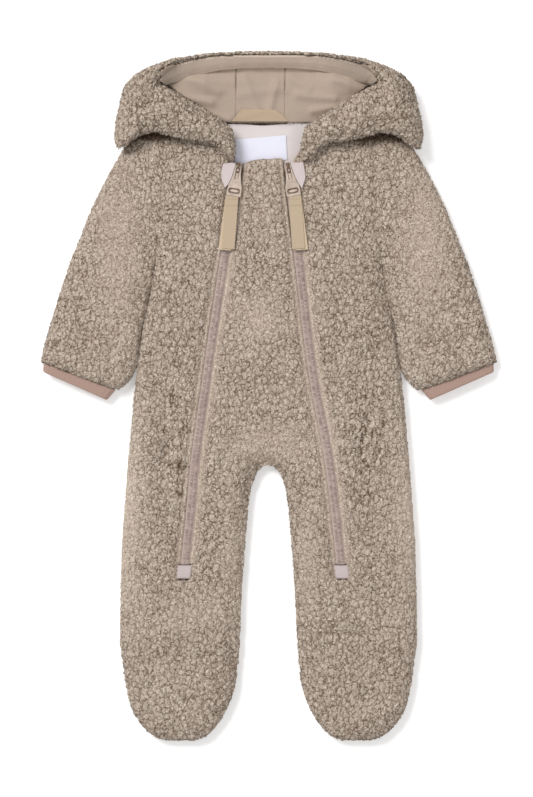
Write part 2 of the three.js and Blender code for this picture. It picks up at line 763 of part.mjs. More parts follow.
function puller() {
  const p = PULLER;
  const shape = new THREE.Shape();
  shape.moveTo(-p.top, p.bar);
  shape.lineTo(p.top, p.bar);
  shape.quadraticCurveTo(p.top + 0.8, -10, p.shoulder, p.shoulderY);
  shape.quadraticCurveTo(p.bottom, -22, p.bottom, -25);
  shape.lineTo(p.bottom, -p.length + 1.5);
  shape.quadraticCurveTo(p.bottom, -p.length, p.bottom - 1.5, -p.length);
  shape.lineTo(-p.bottom + 1.5, -p.length);
  shape.quadraticCurveTo(-p.bottom, -p.length, -p.bottom, -p.length + 1.5);
  shape.lineTo(-p.bottom, -25);
  shape.quadraticCurveTo(-p.bottom, -22, -p.shoulder, p.shoulderY);
  shape.quadraticCurveTo(-p.top - 0.8, -10, -p.top, p.bar);
  shape.holes.push(roundedSlot(p.slot, -p.bar, -p.slotEnd, 0.8));
  shape.holes.push(roundedSlot(EYE.half, EYE.y + EYE.tall / 2, EYE.y - EYE.tall / 2, EYE.corner));
  const wide = 2 * (TONGUE.half + TONGUE.room);
  const deep = TONGUE.deep + TONGUE.room;
  const pocket = new THREE.BoxGeometry(wide, 2 * deep, TONGUE.thick + TONGUE.room);
  const body = solidOf(plate(shape, -p.half, p.half));
  return geometryFrom(body.subtract(solidOf(pocket.translate(0, -p.length, 0))));
}

// Webbing whose upper end is a tongue moulded into the lower end of the puller
function strap(name) {
  const s = STRAP;
  const swing = THREE.MathUtils.degToRad(s.swing[name]);
  const top = new THREE.Vector2(s.shift[name], -PULLER.length - SEAM);
  const end = new THREE.Vector2(0, -s.long).rotateAround(new THREE.Vector2(), swing).add(top);
  const across = new THREE.Vector2(s.half, 0).rotateAround(new THREE.Vector2(), swing);
  const corners = [
    new THREE.Vector2(top.x - s.half, top.y), new THREE.Vector2(top.x + s.half, top.y),
    end.clone().add(across), end.clone().sub(across),
  ];
  const band = solidOf(plate(new THREE.Shape(corners), s.under, s.top));
  const long = TONGUE.deep + 2 * SEAM;
  const tongue = new THREE.BoxGeometry(2 * TONGUE.half, long, TONGUE.thick);
  tongue.translate(0, -PULLER.length + TONGUE.deep - long / 2, 0);
  return geometryFrom(band.add(solidOf(tongue)));
}

// Hood
function moundHeight(x, y) {
  let rise = 0;
  for (const m of mounds) {
    rise += m.high * Math.exp(-((x - m.x) ** 2 + ((y - m.y) * 1.4) ** 2) / m.wide ** 2);
  }
  return rise;
}

const hoodFloorTop = (x, y) => HOOD_FLOOR + moundHeight(x, y);

// Level direction from the rim towards the middle of the opening, square to the rim
function inwards(i) {
  const before = hoodStations[Math.max(i - 1, 0)];
  const after = hoodStations[i + 1] ?? { ...before, rimX: -before.rimX };
  const along = new THREE.Vector2(after.rimX - before.rimX, after.rimY - before.rimY);
  return along.normalize().rotateAround(new THREE.Vector2(), Math.PI / 2);
}

function insideRim(i, distance) {
  const aim = inwards(i);
  const s = hoodStations[i];
  return { x: s.rimX + aim.x * distance, y: s.rimY + aim.y * distance };
}

// Upright section of the ring, from the rim of the opening to the outer edge
function hoodRing(s, side) {
  const wide = Math.hypot(s.edgeX - s.rimX, s.edgeY - s.rimY);
  const [ux, uy] = [(s.edgeX - s.rimX) / wide, (s.edgeY - s.rimY) / wide];
  const overhangs = s.lip > SHOULDER_CLEAR_Z;
  const rim = Math.min(FACING_RIM_Z, s.crest - 1);
  const profile = [
    [0, rim - RIM_DROP + 1.6],
    [0.04 * wide, rim - 1], [0.14 * wide, rim + (s.crest - rim) * 0.45],
    [0.42 * wide, s.crest], [0.7 * wide, mix(s.crest, s.lip, 0.16)],
    [0.9 * wide, mix(s.crest, s.lip, 0.46)], [wide, s.lip],
    [0.9 * wide, overhangs ? s.lip - 5 : 3], [0.76 * wide, 0],
  ];
  const foot = insideRim(hoodStations.indexOf(s), s.foot);
  return [
    [side * foot.x, foot.y, 0], [side * foot.x, foot.y, HOOD_FLOOR - 1],
    ...profile.map(([d, z]) => [side * (s.rimX + ux * d), s.rimY + uy * d, z]),
  ];
}

const bothSides = (rows, make) => [
  ...rows.map((row) => make(row, -1)),
  ...[...rows].slice(0, -1).reverse().map((row) => make(row, 1)),
];

function hoodSolid() {
  const ring = solidOf(loft(bothSides(hoodStations, hoodRing)));
  const inside = hoodStations.slice(6).map((s) => ({
    x: mix(s.rimX, s.edgeX, 0.4), y: mix(s.rimY, s.edgeY, 0.4),
  }));
  const floorShape = shapeOf([
    ...inside.map((p) => ({ x: -p.x, y: p.y })),
    ...[...inside].reverse().map((p) => ({ x: p.x, y: p.y })),
    { x: 118, y: 262 }, { x: -118, y: 262 },
  ]);
  const floor = relief(hoodFloorTop, () => 0).intersect(solidOf(plate(floorShape, -1, 60)));
  const shoulder = [
    { x: 0, y: 150 }, ...[...sleeveSections].slice(0, 5).reverse().map((s) => (
      { x: s.outX + 0.5, y: s.outY + SEAM })),
    { x: SHOULDER.neckX, y: SHOULDER.neckY + SEAM },
  ];
  const keep = shapeOf([
    ...shoulder.slice(1).map((p) => ({ x: -p.x, y: p.y })),
    ...shoulder.slice(1).reverse(),
    { x: 188, y: 140 }, { x: -188, y: 140 },
  ]);
  const body = solidOf(plate(keep, -5, SHOULDER_CLEAR_Z));
  return ring.add(floor).subtract(body);
}

// A broad slab over the whole hood, to be trimmed to each piece
function relief(top, under) {
  const rows = [];
  for (let y = 255; y <= 350; y += 11.5) {
    const row = [];
    for (let x = -160; x <= 160; x += 16) row.push([x, y]);
    rows.push(row);
  }
  return solidOf(new Plan().grid(rows).solid(top, under));
}

function hoodPieces() {
  const hood = hoodSolid();
  const [a, b] = HOOD_SEAMS;
  return {
    hood_left: hood.intersect(boxBetween(-200, a - HALF_SEAM)),
    hood_center: hood.intersect(boxBetween(a + HALF_SEAM, b - HALF_SEAM)),
    hood_right: hood.intersect(boxBetween(b + HALF_SEAM, 200)),
  };
}

function liningPieces() {
  const lens = hoodStations.map((s, i) => insideRim(i, s.foot + LINING_CLEAR))
    .filter((p, i) => i > 2 && !CORNER_STATIONS.includes(i));
  const shape = shapeOf([
    { x: -LINING_FOOT_X, y: NECK_SEAM_Y }, ...lens.map((p) => ({ x: -p.x, y: p.y })),
    ...[...lens].reverse().slice(1), { x: LINING_FOOT_X, y: NECK_SEAM_Y },
  ]);
  const under = (x, y) => hoodFloorTop(x, y) + SEAM;
  const cloth = relief((x, y) => under(x, y) + LINING, under)
    .intersect(solidOf(plate(shape, -1, 60)));
  const [a, b] = HOOD_SEAMS;
  return {
    hood_lining_left: cloth.intersect(boxBetween(-200, a - HALF_SEAM)),
    hood_lining_center: cloth.intersect(boxBetween(a + HALF_SEAM, b - HALF_SEAM)),
    hood_lining_right: cloth.intersect(boxBetween(b + HALF_SEAM, 200)),
  };
}

function facingRing(s, side) {
  const spot = (t, z) => [side * mix(s.rimX, s.hemX, t), mix(s.rimY, s.hemY, t), z];
  return [
    spot(0, FACING_RIM_Z), spot(0, FACING_RIM_Z - FACING),
    spot(0.5, mix(FACING_RIM_Z, FACING_HEM_Z, 0.42) - FACING), spot(1, FACING_HEM_Z - FACING),
    spot(1, FACING_HEM_Z), spot(0.5, mix(FACING_RIM_Z, FACING_HEM_Z, 0.42)),
  ];
}

// The garment
const garment = new THREE.Group();

function place(name, geometry, colour, roughness = 0.95, metalness = 0, parent = garment) {
  const material = new THREE.MeshStandardMaterial({ color: colour, roughness, metalness });
  const mesh = new THREE.Mesh(geometry, material);
  mesh.name = name;
  parent.add(mesh);
  return mesh;
}

place('back', back(), COLOUR.fleece);
place('front_center', frontCenter(), COLOUR.fleece);

for (const side of [-1, 1]) {
  const name = side < 0 ? 'left' : 'right';
  place(`front_side_${name}`, frontSide(side), COLOUR.fleece);
  place(`sleeve_${name}`, sleeve(side), COLOUR.fleece);
  place(`cuff_binding_${name}`, cuffBinding(side), COLOUR.binding);
  place(`vamp_${name}`, footPlan(side, vampRows).solid(vampTop, () => FRONT_UNDER), COLOUR.fleece);
  place(`sole_${name}`, footPlan(side, soleRows).solid(backTop, backUnder), COLOUR.fleece);
  place(`zip_${name}`, zip(side), COLOUR.tape, 0.7);
  place(`zip_end_${name}`, zipEnd(side), COLOUR.pale);
  place(`zip_guard_${name}`, plate(shapeOf(zipGuard[name]), GUARD.under, GUARD.top), COLOUR.pale);

  const lean = PULL_LEAN[name];
  const pull = new THREE.Group();
  pull.position.set(read(zipLine[name], PULL_Y), PULL_Y, HINGE_Z);
  pull.rotation.z = THREE.MathUtils.degToRad(lean);
  garment.add(pull);
  place(`slider_${name}`, slider(), COLOUR.puller, 0.5, 0.1, pull);
  place(`puller_${name}`, puller(), COLOUR.puller, 0.4, 0, pull);
  place(`strap_${name}`, strap(name), COLOUR.webbing, 0.9, 0, pull);
}

for (const [name, solid] of Object.entries(hoodPieces())) {
  place(name, geometryFrom(solid), COLOUR.fleece);
}
for (const [name, solid] of Object.entries(liningPieces())) {
  place(name, geometryFrom(solid), COLOUR.lining);
}
place('hood_facing', loft(bothSides(facingStations, facingRing)), COLOUR.facing);
place('neck_facing', plate(shapeOf(neckFacing), NECK_FACING.under, NECK_FACING.top), COLOUR.neck);
place('label', plate(shapeOf(labelCorners), LABEL.under, LABEL.top), COLOUR.label, 0.6);
place('hanger_loop', plate(shapeOf(loopCorners), LOOP.under, LOOP.top), COLOUR.webbing);

export default garment;
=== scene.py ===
# %% [markdown]
# A hooded baby overall in curly teddy fleece, laid flat and seen from straight above.
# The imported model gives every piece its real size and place, in metres. This file
# dresses it: curly pile on the fleece panels, a soft lined hood, zips with real teeth,
# moulded pullers and woven straps. Each step first says what the real thing is, how
# it could be made, and why this way was chosen.

# %% Load the frame
import math
import random
from contextlib import contextmanager

import bmesh
import bpy
import numpy as np
from mathutils import Matrix, Vector
from mathutils.bvhtree import BVHTree


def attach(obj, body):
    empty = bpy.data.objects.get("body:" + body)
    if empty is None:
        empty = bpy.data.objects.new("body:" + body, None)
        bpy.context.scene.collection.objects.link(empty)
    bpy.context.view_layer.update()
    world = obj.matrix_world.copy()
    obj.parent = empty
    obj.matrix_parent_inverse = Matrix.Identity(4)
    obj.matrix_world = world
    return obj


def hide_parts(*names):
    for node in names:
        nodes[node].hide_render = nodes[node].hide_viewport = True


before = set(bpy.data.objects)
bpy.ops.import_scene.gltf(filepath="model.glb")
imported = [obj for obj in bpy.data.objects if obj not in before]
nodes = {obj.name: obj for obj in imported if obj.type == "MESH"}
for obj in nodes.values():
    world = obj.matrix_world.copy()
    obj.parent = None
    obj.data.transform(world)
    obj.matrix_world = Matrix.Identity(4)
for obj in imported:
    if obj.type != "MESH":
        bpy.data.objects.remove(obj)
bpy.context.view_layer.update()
scene = bpy.context.scene
MM = 0.001
SIDES = {"left": -1, "right": 1}
print("loaded", len(nodes), "CAD nodes")

# %% [markdown]
# Nearly every step below edits a mesh with operators, links an object or starts a
# material. Those jobs are written once. A mesh is opened in a with block, and what the
# block made of it is written back when the block ends.

# %% Mesh and material helpers
@contextmanager
def edited(mesh):
    """The mesh opened for operators, and written back at the end of the block."""
    bm = bmesh.new()
    bm.from_mesh(mesh)
    yield bm
    bm.to_mesh(mesh)
    bm.free()


def link(name, data):
    """A new object at the origin that shows the data."""
    new = bpy.data.objects.new(name, data)
    scene.collection.objects.link(new)
    return new


def new_mesh(name):
    """A new object with an empty mesh of the same name."""
    return link(name, bpy.data.meshes.new(name))


def sized(*size):
    """A matrix that scales a unit shape to those sizes in millimetres."""
    return Matrix.Diagonal(Vector((*size, 1 / MM)) * MM)


def new_material(name, inputs):
    """A new material, its node tree and its shader with those inputs set."""
    material = bpy.data.materials.new(name)
    material.use_nodes = True
    shader = material.node_tree.nodes["Principled BSDF"]
    for key, value in inputs.items():
        shader.inputs[key].default_value = value
    return material, material.node_tree, shader


print("mesh and material helpers ready")

# %% [markdown]
# The photograph was taken from straight above with a long lens, and one of its
# pixels covers one millimetre of the garment. So the camera looks down the Z axis
# from about three metres, and its picture is 797 millimetres tall at the cloth.

# %% Camera
PICTURE_TALL = 0.797
PICTURE_MIDDLE = (-0.002, -0.0035)
CLOTH_LEVEL = 0.015
LENS = 135
SENSOR = 36

camera_data = bpy.data.cameras.new("camera")
camera_data.lens = LENS
camera_data.sensor_width = SENSOR
camera_data.clip_end = 20
camera = link("camera", camera_data)
camera.location = (*PICTURE_MIDDLE, CLOTH_LEVEL + PICTURE_TALL * LENS / SENSOR)
scene.camera = camera
print("camera height", round(camera.location.z, 3))

# %% [markdown]
# The picture is a cut-out with hardly any shadow, so the light is broad and soft: a
# white sky, one large lamp above the hood's side and a weaker one opposite it. The
# floor is a plain pale plane that the lamps take close to white.

# %% Light and floor
LAMPS = {
    "key": {"at": (-3.0, 3.3, 4.6), "size": 2.8, "watts": 290},
    "fill": {"at": (2.6, -2.2, 3.6), "size": 3.0, "watts": 40},
}
SKY = 0.55
FLOOR_COLOUR = (0.93, 0.93, 0.93, 1)
FLOOR_GLOW = 0.25
FLOOR_HALF = 4

world = bpy.data.worlds.new("sky")
world.use_nodes = True
world.node_tree.nodes["Background"].inputs["Color"].default_value = (1, 1, 1, 1)
world.node_tree.nodes["Background"].inputs["Strength"].default_value = SKY
scene.world = world
scene.view_settings.view_transform = "Standard"

for name, lamp in LAMPS.items():
    data = bpy.data.lights.new(name, "AREA")
    data.shape = "DISK"
    data.size = lamp["size"]
    data.energy = lamp["watts"]
    light = link(name, data)
    light.location = lamp["at"]
    light.rotation_euler = (-Vector(lamp["at"])).to_track_quat("-Z", "Y").to_euler()

floor = new_mesh("floor")
with edited(floor.data) as bm:
    bmesh.ops.create_grid(bm, x_segments=1, y_segments=1, size=FLOOR_HALF)
floor.data.materials.append(new_material("pale floor", {
    "Base Color": FLOOR_COLOUR, "Roughness": 0.9,
    "Emission Color": FLOOR_COLOUR, "Emission Strength": FLOOR_GLOW})[0])
print("lamps", list(LAMPS))

# %% [markdown]
# Materials here are small node trees, and several share an effect. These helpers add
# a node, set its values and join sockets in one call, so a tree reads as a list.

# %% Node helpers
def add(tree, kind, inputs=None, **settings):
    """A node of that kind. inputs gives sockets a value or another node's output."""
    new = tree.nodes.new(kind)
    for key, value in settings.items():
        setattr(new, key, value)
    for key, value in (inputs or {}).items():
        socket = new.inputs[key]
        if isinstance(value, bpy.types.NodeSocket):
            tree.links.new(value, socket)
        else:
            socket.default_value = value
    return new


def math_node(tree, operation, *values):
    """The output of one calculation with two or three values."""
    return add(tree, "ShaderNodeMath", dict(enumerate(values)), operation=operation).outputs[0]


def smooth_step(tree, value, low, high, start=0.0, stop=1.0):
    """A soft step that takes value from start at low to stop at high."""
    return add(tree, "ShaderNodeMapRange", {
        "Value": value, "From Min": low, "From Max": high, "To Min": start, "To Max": stop},
        interpolation_type="SMOOTHSTEP").outputs["Result"]


def ramp(tree, factor, stops):
    """A colour ramp through (position, colour) stops."""
    new = add(tree, "ShaderNodeValToRGB", {"Fac": factor})
    elements = new.color_ramp.elements
    while len(elements) < len(stops):
        elements.new(0.5)
    for element, (position, colour) in zip(elements, stops):
        element.position = position
        element.color = colour
    return new.outputs["Color"]


def srgb(red, green, blue):
    """A linear colour from the 0 to 255 values seen on a screen."""
    def linear(value):
        value /= 255
        return value / 12.92 if value <= 0.04045 else ((value + 0.055) / 1.055) ** 2.4
    return (linear(red), linear(green), linear(blue), 1)


def new_group(name, sockets, outputs):
    """A shader node group with named inputs (name, type, default) and outputs."""
    group = bpy.data.node_groups.new(name, "ShaderNodeTree")
    for label, kind, default in sockets:
        socket = group.interface.new_socket(label, in_out="INPUT", socket_type=kind)
        if default is not None:
            socket.default_value = default
    for label, kind in outputs:
        group.interface.new_socket(label, in_out="OUTPUT", socket_type=kind)
    return group, add(group, "NodeGroupInput"), add(group, "NodeGroupOutput")


def attribute(tree, name):
    """The node that reads a value stored at the mesh's points."""
    return add(tree, "ShaderNodeAttribute", attribute_name=name)


def object_place(tree):
    return add(tree, "ShaderNodeTexCoord").outputs["Object"]


FLOAT = "NodeSocketFloat"
print("node helpers ready")

# %% [markdown]
# Teddy fleece is a knitted ground with a brushed, curled pile. From a step away it
# reads as small clumps with narrow dark crevices between them, and as fine fibre on
# each clump. The fibres come first: a fine noise that is used as colour and as bump,
# with slow faint clouds, since a brushed pile never has one even shade.

# %% Fibres of the pile
FIBRE = {"size": 720.0, "tangle": 0.8, "clouds": 26.0, "cloud": 0.1}


def fibre_group():
    """Fine fibres: a height and a shade that change over a millimetre or less."""
    group, source, sink = new_group(
        "Fibres", [("Size", FLOAT, FIBRE["size"]), ("Tangle", FLOAT, FIBRE["tangle"])],
        [("Height", FLOAT), ("Shade", FLOAT)])
    place = object_place(group)
    fine = add(group, "ShaderNodeTexNoise", {
        "Vector": place, "Scale": source.outputs["Size"], "Detail": 2.0,
        "Roughness": 0.6, "Distortion": source.outputs["Tangle"]}).outputs["Fac"]
    broad = add(group, "ShaderNodeTexNoise", {
        "Vector": place, "Scale": FIBRE["clouds"], "Detail": 2.0}).outputs["Fac"]
    grain = math_node(group, "MULTIPLY_ADD", fine, 2.0, -1.0)
    cloud = math_node(group, "MULTIPLY_ADD", broad, FIBRE["cloud"], -FIBRE["cloud"] / 2)
    group.links.new(fine, sink.inputs["Height"])
    group.links.new(math_node(group, "ADD", grain, cloud), sink.inputs["Shade"])
    return group


FIBRES = fibre_group()
print("fibre group has", len(FIBRES.nodes), "nodes")

# %% [markdown]
# The clumps are real relief in the mesh, and it also stores where each point lies in
# the curl pattern. So the material can paint the shade of the same crevices far finer
# than the faces are: a dark line of painted shade where two clumps meet, a finer and
# fainter net within the clumps, painted shade in the hollows, and painted shade in the
# furrows of the thighs. A painted picture would not follow the relief as closely.

# %% Curls of the pile
UNEVEN = 0.95
CLUMP_TOP, CLUMP_FOOT = 0.12, 0.78
CLUMP_SHARES = (
    # size ratio, share of the height
    (1.0, 0.62), (2.2, 0.38),
)
# CREVICE shapes the lines of painted shade where clumps meet.
CREVICE = {"wide": 0.15, "gone": 0.28, "whole": 0.6, "line": 0.85}
FINE_CREVICE = {"ratio": 1.9, "share": 0.3}
# The painted shade in the hollows between clumps.
HOLLOW_PAINTED_SHADE = {"from": 0.62, "to": 0.1, "share": 0.2}


def clump_height(tree, place):
    """Height of rounded clumps of two sizes, from 0 in a crevice to 1 on a top."""
    heights = []
    for ratio, share in CLUMP_SHARES:
        away = add(tree, "ShaderNodeTexVoronoi", {
            "Vector": place, "Scale": ratio, "Randomness": UNEVEN},
            feature="F1").outputs["Distance"]
        heights.append(smooth_step(tree, away, CLUMP_TOP, CLUMP_FOOT, share, 0.0))
    return math_node(tree, "ADD", *heights)


def crevice_line(tree, place, ratio):
    """Narrow lines of painted shade where clumps meet, broken where two of them lie close."""
    cells = {"Vector": place, "Scale": ratio, "Randomness": UNEVEN}
    edge = add(
        tree, "ShaderNodeTexVoronoi", cells, feature="DISTANCE_TO_EDGE").outputs["Distance"]
    away = add(tree, "ShaderNodeTexVoronoi", cells, feature="F1").outputs["Distance"]
    line = smooth_step(tree, edge, 0.0, CREVICE["wide"], 1.0, 0.0)
    whole = smooth_step(tree, away, CREVICE["gone"], CREVICE["whole"])
    return math_node(tree, "MULTIPLY", line, whole)


def curl_group():
    """Clump height, and the painted shade of crevices, hollows and furrows, from the place in the
    pattern that the mesh holds.
    """
    group, source, sink = new_group(
        "Curls", [("Line", FLOAT, CREVICE["line"])], [("Painted shade", FLOAT), ("Height", FLOAT)])
    place = attribute(group, "pattern").outputs["Vector"]
    lively = attribute(group, "lively").outputs["Fac"]
    groove = attribute(group, "groove").outputs["Fac"]
    height = clump_height(group, place)
    low = smooth_step(group, height, HOLLOW_PAINTED_SHADE["from"], HOLLOW_PAINTED_SHADE["to"])
    line = math_node(group, "MULTIPLY", crevice_line(group, place, 1.0), source.outputs["Line"])
    fine = math_node(group, "MULTIPLY", crevice_line(
        group, place, FINE_CREVICE["ratio"]), FINE_CREVICE["share"])
    # Painted shade: crevice lines, hollows and furrows are darkened in colour for the shade that
    # falls in them.
    dark = math_node(group, "MULTIPLY_ADD", low, HOLLOW_PAINTED_SHADE["share"], line)
    either = math_node(group, "MAXIMUM", math_node(group, "MULTIPLY", dark, lively), fine)
    group.links.new(math_node(group, "ADD", either, groove), sink.inputs["Painted shade"])
    group.links.new(math_node(group, "MULTIPLY", height, lively), sink.inputs["Height"])
    return group


CURLS = curl_group()
print("curl group has", len(CURLS.nodes), "nodes")

# %% [markdown]
# The fleece's colour is one number: a middle tone, the tone stored at each point, more
# or less for the fibres, and less for the painted shade of the crevices, hollows and
# furrows. The stored tone holds painted shade too, under the hood, in the zip valleys
# and at the neck. A ramp turns the number into brown, beige or cream. The surface is
# rough, with the faint sheen of brushed cloth at its edges.

# %% Fleece material
FLEECE_STOPS = (
    (0.0, srgb(96, 77, 60)), (0.55, srgb(187, 170, 154)), (1.0, srgb(234, 222, 208)))
SHADE = {"base": 0.655, "fibres": 0.85, "crevice_painted_shade": -0.53}
FLEECE_BUMP = {"Strength": 1.0, "Distance": 0.0024}


def fleece_material():
    material, tree, shader = new_material("teddy fleece", {
        "Roughness": 0.95, "Specular IOR Level": 0.12, "Sheen Weight": 0.15,
        "Sheen Roughness": 0.6, "Sheen Tint": srgb(214, 202, 188)})
    fibres = add(tree, "ShaderNodeGroup", {
        "Size": FIBRE["size"], "Tangle": FIBRE["tangle"]}, node_tree=FIBRES)
    curls = add(tree, "ShaderNodeGroup", {"Line": CREVICE["line"]}, node_tree=CURLS)
    base = math_node(tree, "ADD", attribute(tree, "tone").outputs["Fac"], SHADE["base"])
    lit = math_node(tree, "MULTIPLY_ADD", fibres.outputs["Shade"], SHADE["fibres"], base)
    # The painted shade of crevices, hollows and furrows darkens the colour here.
    shade = math_node(tree, "MULTIPLY_ADD", curls.outputs["Painted shade"], SHADE["crevice_painted_shade"], lit)
    tree.links.new(ramp(tree, shade, FLEECE_STOPS), shader.inputs["Base Color"])
    height = math_node(
        tree, "MULTIPLY_ADD", fibres.outputs["Height"], 0.3, curls.outputs["Height"])
    bump = add(tree, "ShaderNodeBump", {"Height": height, **FLEECE_BUMP})
    tree.links.new(bump.outputs["Normal"], shader.inputs["Normal"])
    return material


FLEECE = fleece_material()
print("fleece material", FLEECE.name)

# %% [markdown]
# Every fleece panel starts as a copy of its CAD solid. A voxel remesh turns its large
# facets into even quads of about a millimetre, and smoothing takes the edges of the
# facets away. Modelling each panel again by hand would lose the fit of the seams.

# %% Panels from the CAD solids
def settled(obj):
    """Applies all of an object's modifiers."""
    graph = bpy.context.evaluated_depsgraph_get()
    mesh = bpy.data.meshes.new_from_object(obj.evaluated_get(graph))
    old = obj.data
    obj.modifiers.clear()
    obj.data = mesh
    bpy.data.meshes.remove(old)
    return obj


def copy_of(node, name):
    """The CAD node's mesh with its doubles merged, as a new object."""
    copy = new_mesh(name)
    with edited(copy.data) as bm:
        bm.from_mesh(nodes[node].data)
        bmesh.ops.remove_doubles(bm, verts=bm.verts, dist=1e-6)
    return copy


def remeshed(obj, voxel, level_rounds=0, rounds=0):
    """Makes the object even quads. level_rounds smooth its height alone."""
    remesh = obj.modifiers.new("voxels", "REMESH")
    remesh.mode = "VOXEL"
    remesh.voxel_size = voxel * MM
    remesh.use_smooth_shade = True
    for count, axes in ((level_rounds, (False, False, True)), (rounds, (True, True, True))):
        if count:
            smooth = obj.modifiers.new("smooth", "SMOOTH")
            smooth.factor = 0.5
            smooth.iterations = count
            smooth.use_x, smooth.use_y, smooth.use_z = axes
    return settled(obj)


def read_points(obj, what):
    flat = np.zeros(len(obj.data.vertices) * 3, np.float32)
    obj.data.vertices.foreach_get(what, flat)
    return flat.reshape(-1, 3)


def points_of(obj):
    """The mesh's points as an array of rows, in millimetres."""
    return read_points(obj, "co") / MM


def normals_of(obj):
    return read_points(obj, "normal")


def set_points(obj, points):
    obj.data.vertices.foreach_set("co", (points * MM).astype(np.float32).ravel())
    obj.data.update()


def set_attribute(obj, name, values, kind="FLOAT", key="value"):
    """Stores a value, or a vector, at each of the mesh's points."""
    stored = obj.data.attributes.new(name, kind, "POINT")
    stored.data.foreach_set(key, np.asarray(values, np.float32).ravel())


def finish_piece(obj, slot, *replaced, body="garment"):
    """Puts a finished piece on its body and in the place of its nodes. slot is not used."""
    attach(obj, body)
    if replaced:
        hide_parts(*replaced)
    return obj


print("panel helpers ready")

# %% [markdown]
# The garment's larger folds are listed as a short table, in millimetres: across the
# elbows, down each thigh and at one ankle. Each is a soft trough between two points.
# Further tables say where the pile is brushed flat, because worn and handled places of
# teddy fleece lose their curl, where it is paler or darker, where shadow is painted under
# the hood and at the neck, and where the pile parts in furrows.

# %% Folds and brushed places
FOLDS = (
    # x0, y0, x1, y1, depth, width
    (-193, 70, -153, 45, 2.0, 3.5), (-205, 96, -172, 80, 1.4, 4.5),
    (203, 59, 153, 48, 2.0, 3.5), (208, 90, 172, 80, 1.2, 4.5),
    (-117, -4, -102, -55, 2.0, 4.5), (-102, -55, -104, -106, 1.8, 4.5),
    (104, -10, 94, -60, 1.8, 4.5), (94, -60, 95, -108, 1.8, 4.5),
    (32, -241, 92, -241, 2.0, 3.5), (-40, -236, -74, -243, 1.2, 4),
    (-120, 34, -96, 22, 1.0, 6), (120, 40, 98, 30, 1.0, 6),
    (-150, 205, -122, 165, 1.0, 6), (150, 205, 124, 165, 1.0, 6),
    (-8, -70, -34, -40, 1.2, 6), (8, -70, 34, -42, 1.2, 6),
)
BRUSHED_AND_SHADED = (
    # x, y, reach in x, reach in y, share of the curl lost, how much paler
    (-146, -110, 20, 110, 0.6, 0.09), (146, -110, 20, 110, 0.5, 0.08),
    (-150, 150, 22, 75, 0.65, -0.03), (155, 150, 24, 75, 0.65, 0.0),
    (-95, -55, 35, 60, 0.0, 0.05), (90, -55, 35, 60, 0.0, 0.04),
    (-190, 70, 30, 45, 0.0, 0.015), (190, 70, 30, 45, 0.0, 0.025),
    (-92, -305, 50, 40, 0.0, 0.03), (-60, -200, 40, 50, 0.0, 0.015),
    (-10, 78, 20, 22, 0.6, 0.02), (0, -50, 42, 22, 0.55, 0.0),
    (-36, -165, 10, 60, 0.4, 0.03), (38, -165, 10, 60, 0.4, 0.03),
    (-78, -215, 30, 18, 0.35, 0.02), (0, 170, 12, 30, 0.2, 0.0),
    # Painted shadow: the dark crescent of the neck opening under the hanger loop.
    (-8, 272, 30, 3, 0.5, -0.5),
)
HOOD_PAINTED_SHADOW = (
    # painted shadow of the hood lobes on the shoulders: x, y, reach in x, reach in y, how much
    # darker
    (-95, 257, 30, 5, 0.2), (95, 256, 30, 5, 0.35),
    (-113, 259, 20, 3.5, 0.6), (100, 258, 28, 3.5, 0.6),
)
STREAKED = (
    # x, y, reach in x, reach in y, strength
    (-92, -70, 20, 62, 0.9), (98, -60, 22, 62, 0.9), (-96, 60, 14, 70, 0.35),
    (98, 50, 14, 70, 0.35), (-62, 60, 9, 60, 0.3), (30, 120, 9, 60, 0.3),
)
BRUSHED_SHADE = 0.13
LEAST_CURL = 0.25


def segment_distance(x, y, x0, y0, x1, y1):
    """Distance of each point from a straight segment."""
    dx, dy = x1 - x0, y1 - y0
    t = np.clip(((x - x0) * dx + (y - y0) * dy) / (dx * dx + dy * dy), 0, 1)
    return np.hypot(x - x0 - t * dx, y - y0 - t * dy)


def along_lines(x, y, rows):
    """Soft ridges or troughs along segments: how high or deep they are at each point."""
    height = np.zeros(len(x))
    for x0, y0, x1, y1, tall, wide in rows:
        height += tall * np.exp(-((segment_distance(x, y, x0, y0, x1, y1) / wide) ** 2))
    return height


def patch(x, y, x0, y0, reach_x, reach_y):
    """A soft patch: 1 in its middle, and fading over its reach."""
    return np.exp(-(((x - x0) / reach_x) ** 2) - ((y - y0) / reach_y) ** 2)


def curl_share(x, y):
    """How much of its curl the pile keeps, where it is brushed."""
    share = np.ones(len(x))
    for x0, y0, reach_x, reach_y, lost, paler in BRUSHED_AND_SHADED:
        share -= lost * patch(x, y, x0, y0, reach_x, reach_y)
    return np.clip(share, LEAST_CURL, 1)


def tone_shift(x, y):
    """How much paler or darker the pile is: where it is brushed, in plain patches, and in the
    painted shadow at the neck.
    """
    return sum((row[5] - BRUSHED_SHADE * row[4]) * patch(x, y, *row[:4]) for row in BRUSHED_AND_SHADED)


def in_patches(x, y, rows):
    """The sum of soft patches, with each row's last column as its strength."""
    return sum(row[4] * patch(x, y, *row[:4]) for row in rows)


print(len(FOLDS), "folds,", len(BRUSHED_AND_SHADED), "brushed places")

# %% [markdown]
# The two zips run from the neck down the legs. Their centre lines, in millimetres,
# are needed twice: the pile is short beside them, and the teeth follow them.

# %% Zip lines
ZIP_LINES = {
    "left": ((236, -29), (227, -30.3), (143, -43), (45, -58), (4, -63.5),
             (-37, -69.5), (-69, -73.8), (-118, -77.9), (-184, -85), (-262, -88.5)),
    "right": ((236, 18.6), (227, 19.7), (143, 29.5), (45, 41), (4, 47.2),
              (-37, 55.8), (-69, 61.3), (-118, 67.2), (-184, 74), (-262, 88.5)),
}


def zip_x(side, y):
    """Where the zip's centre line lies across the garment at height y in plan."""
    ys, xs = np.array(ZIP_LINES[side])[::-1].T
    return np.interp(y, ys, xs)


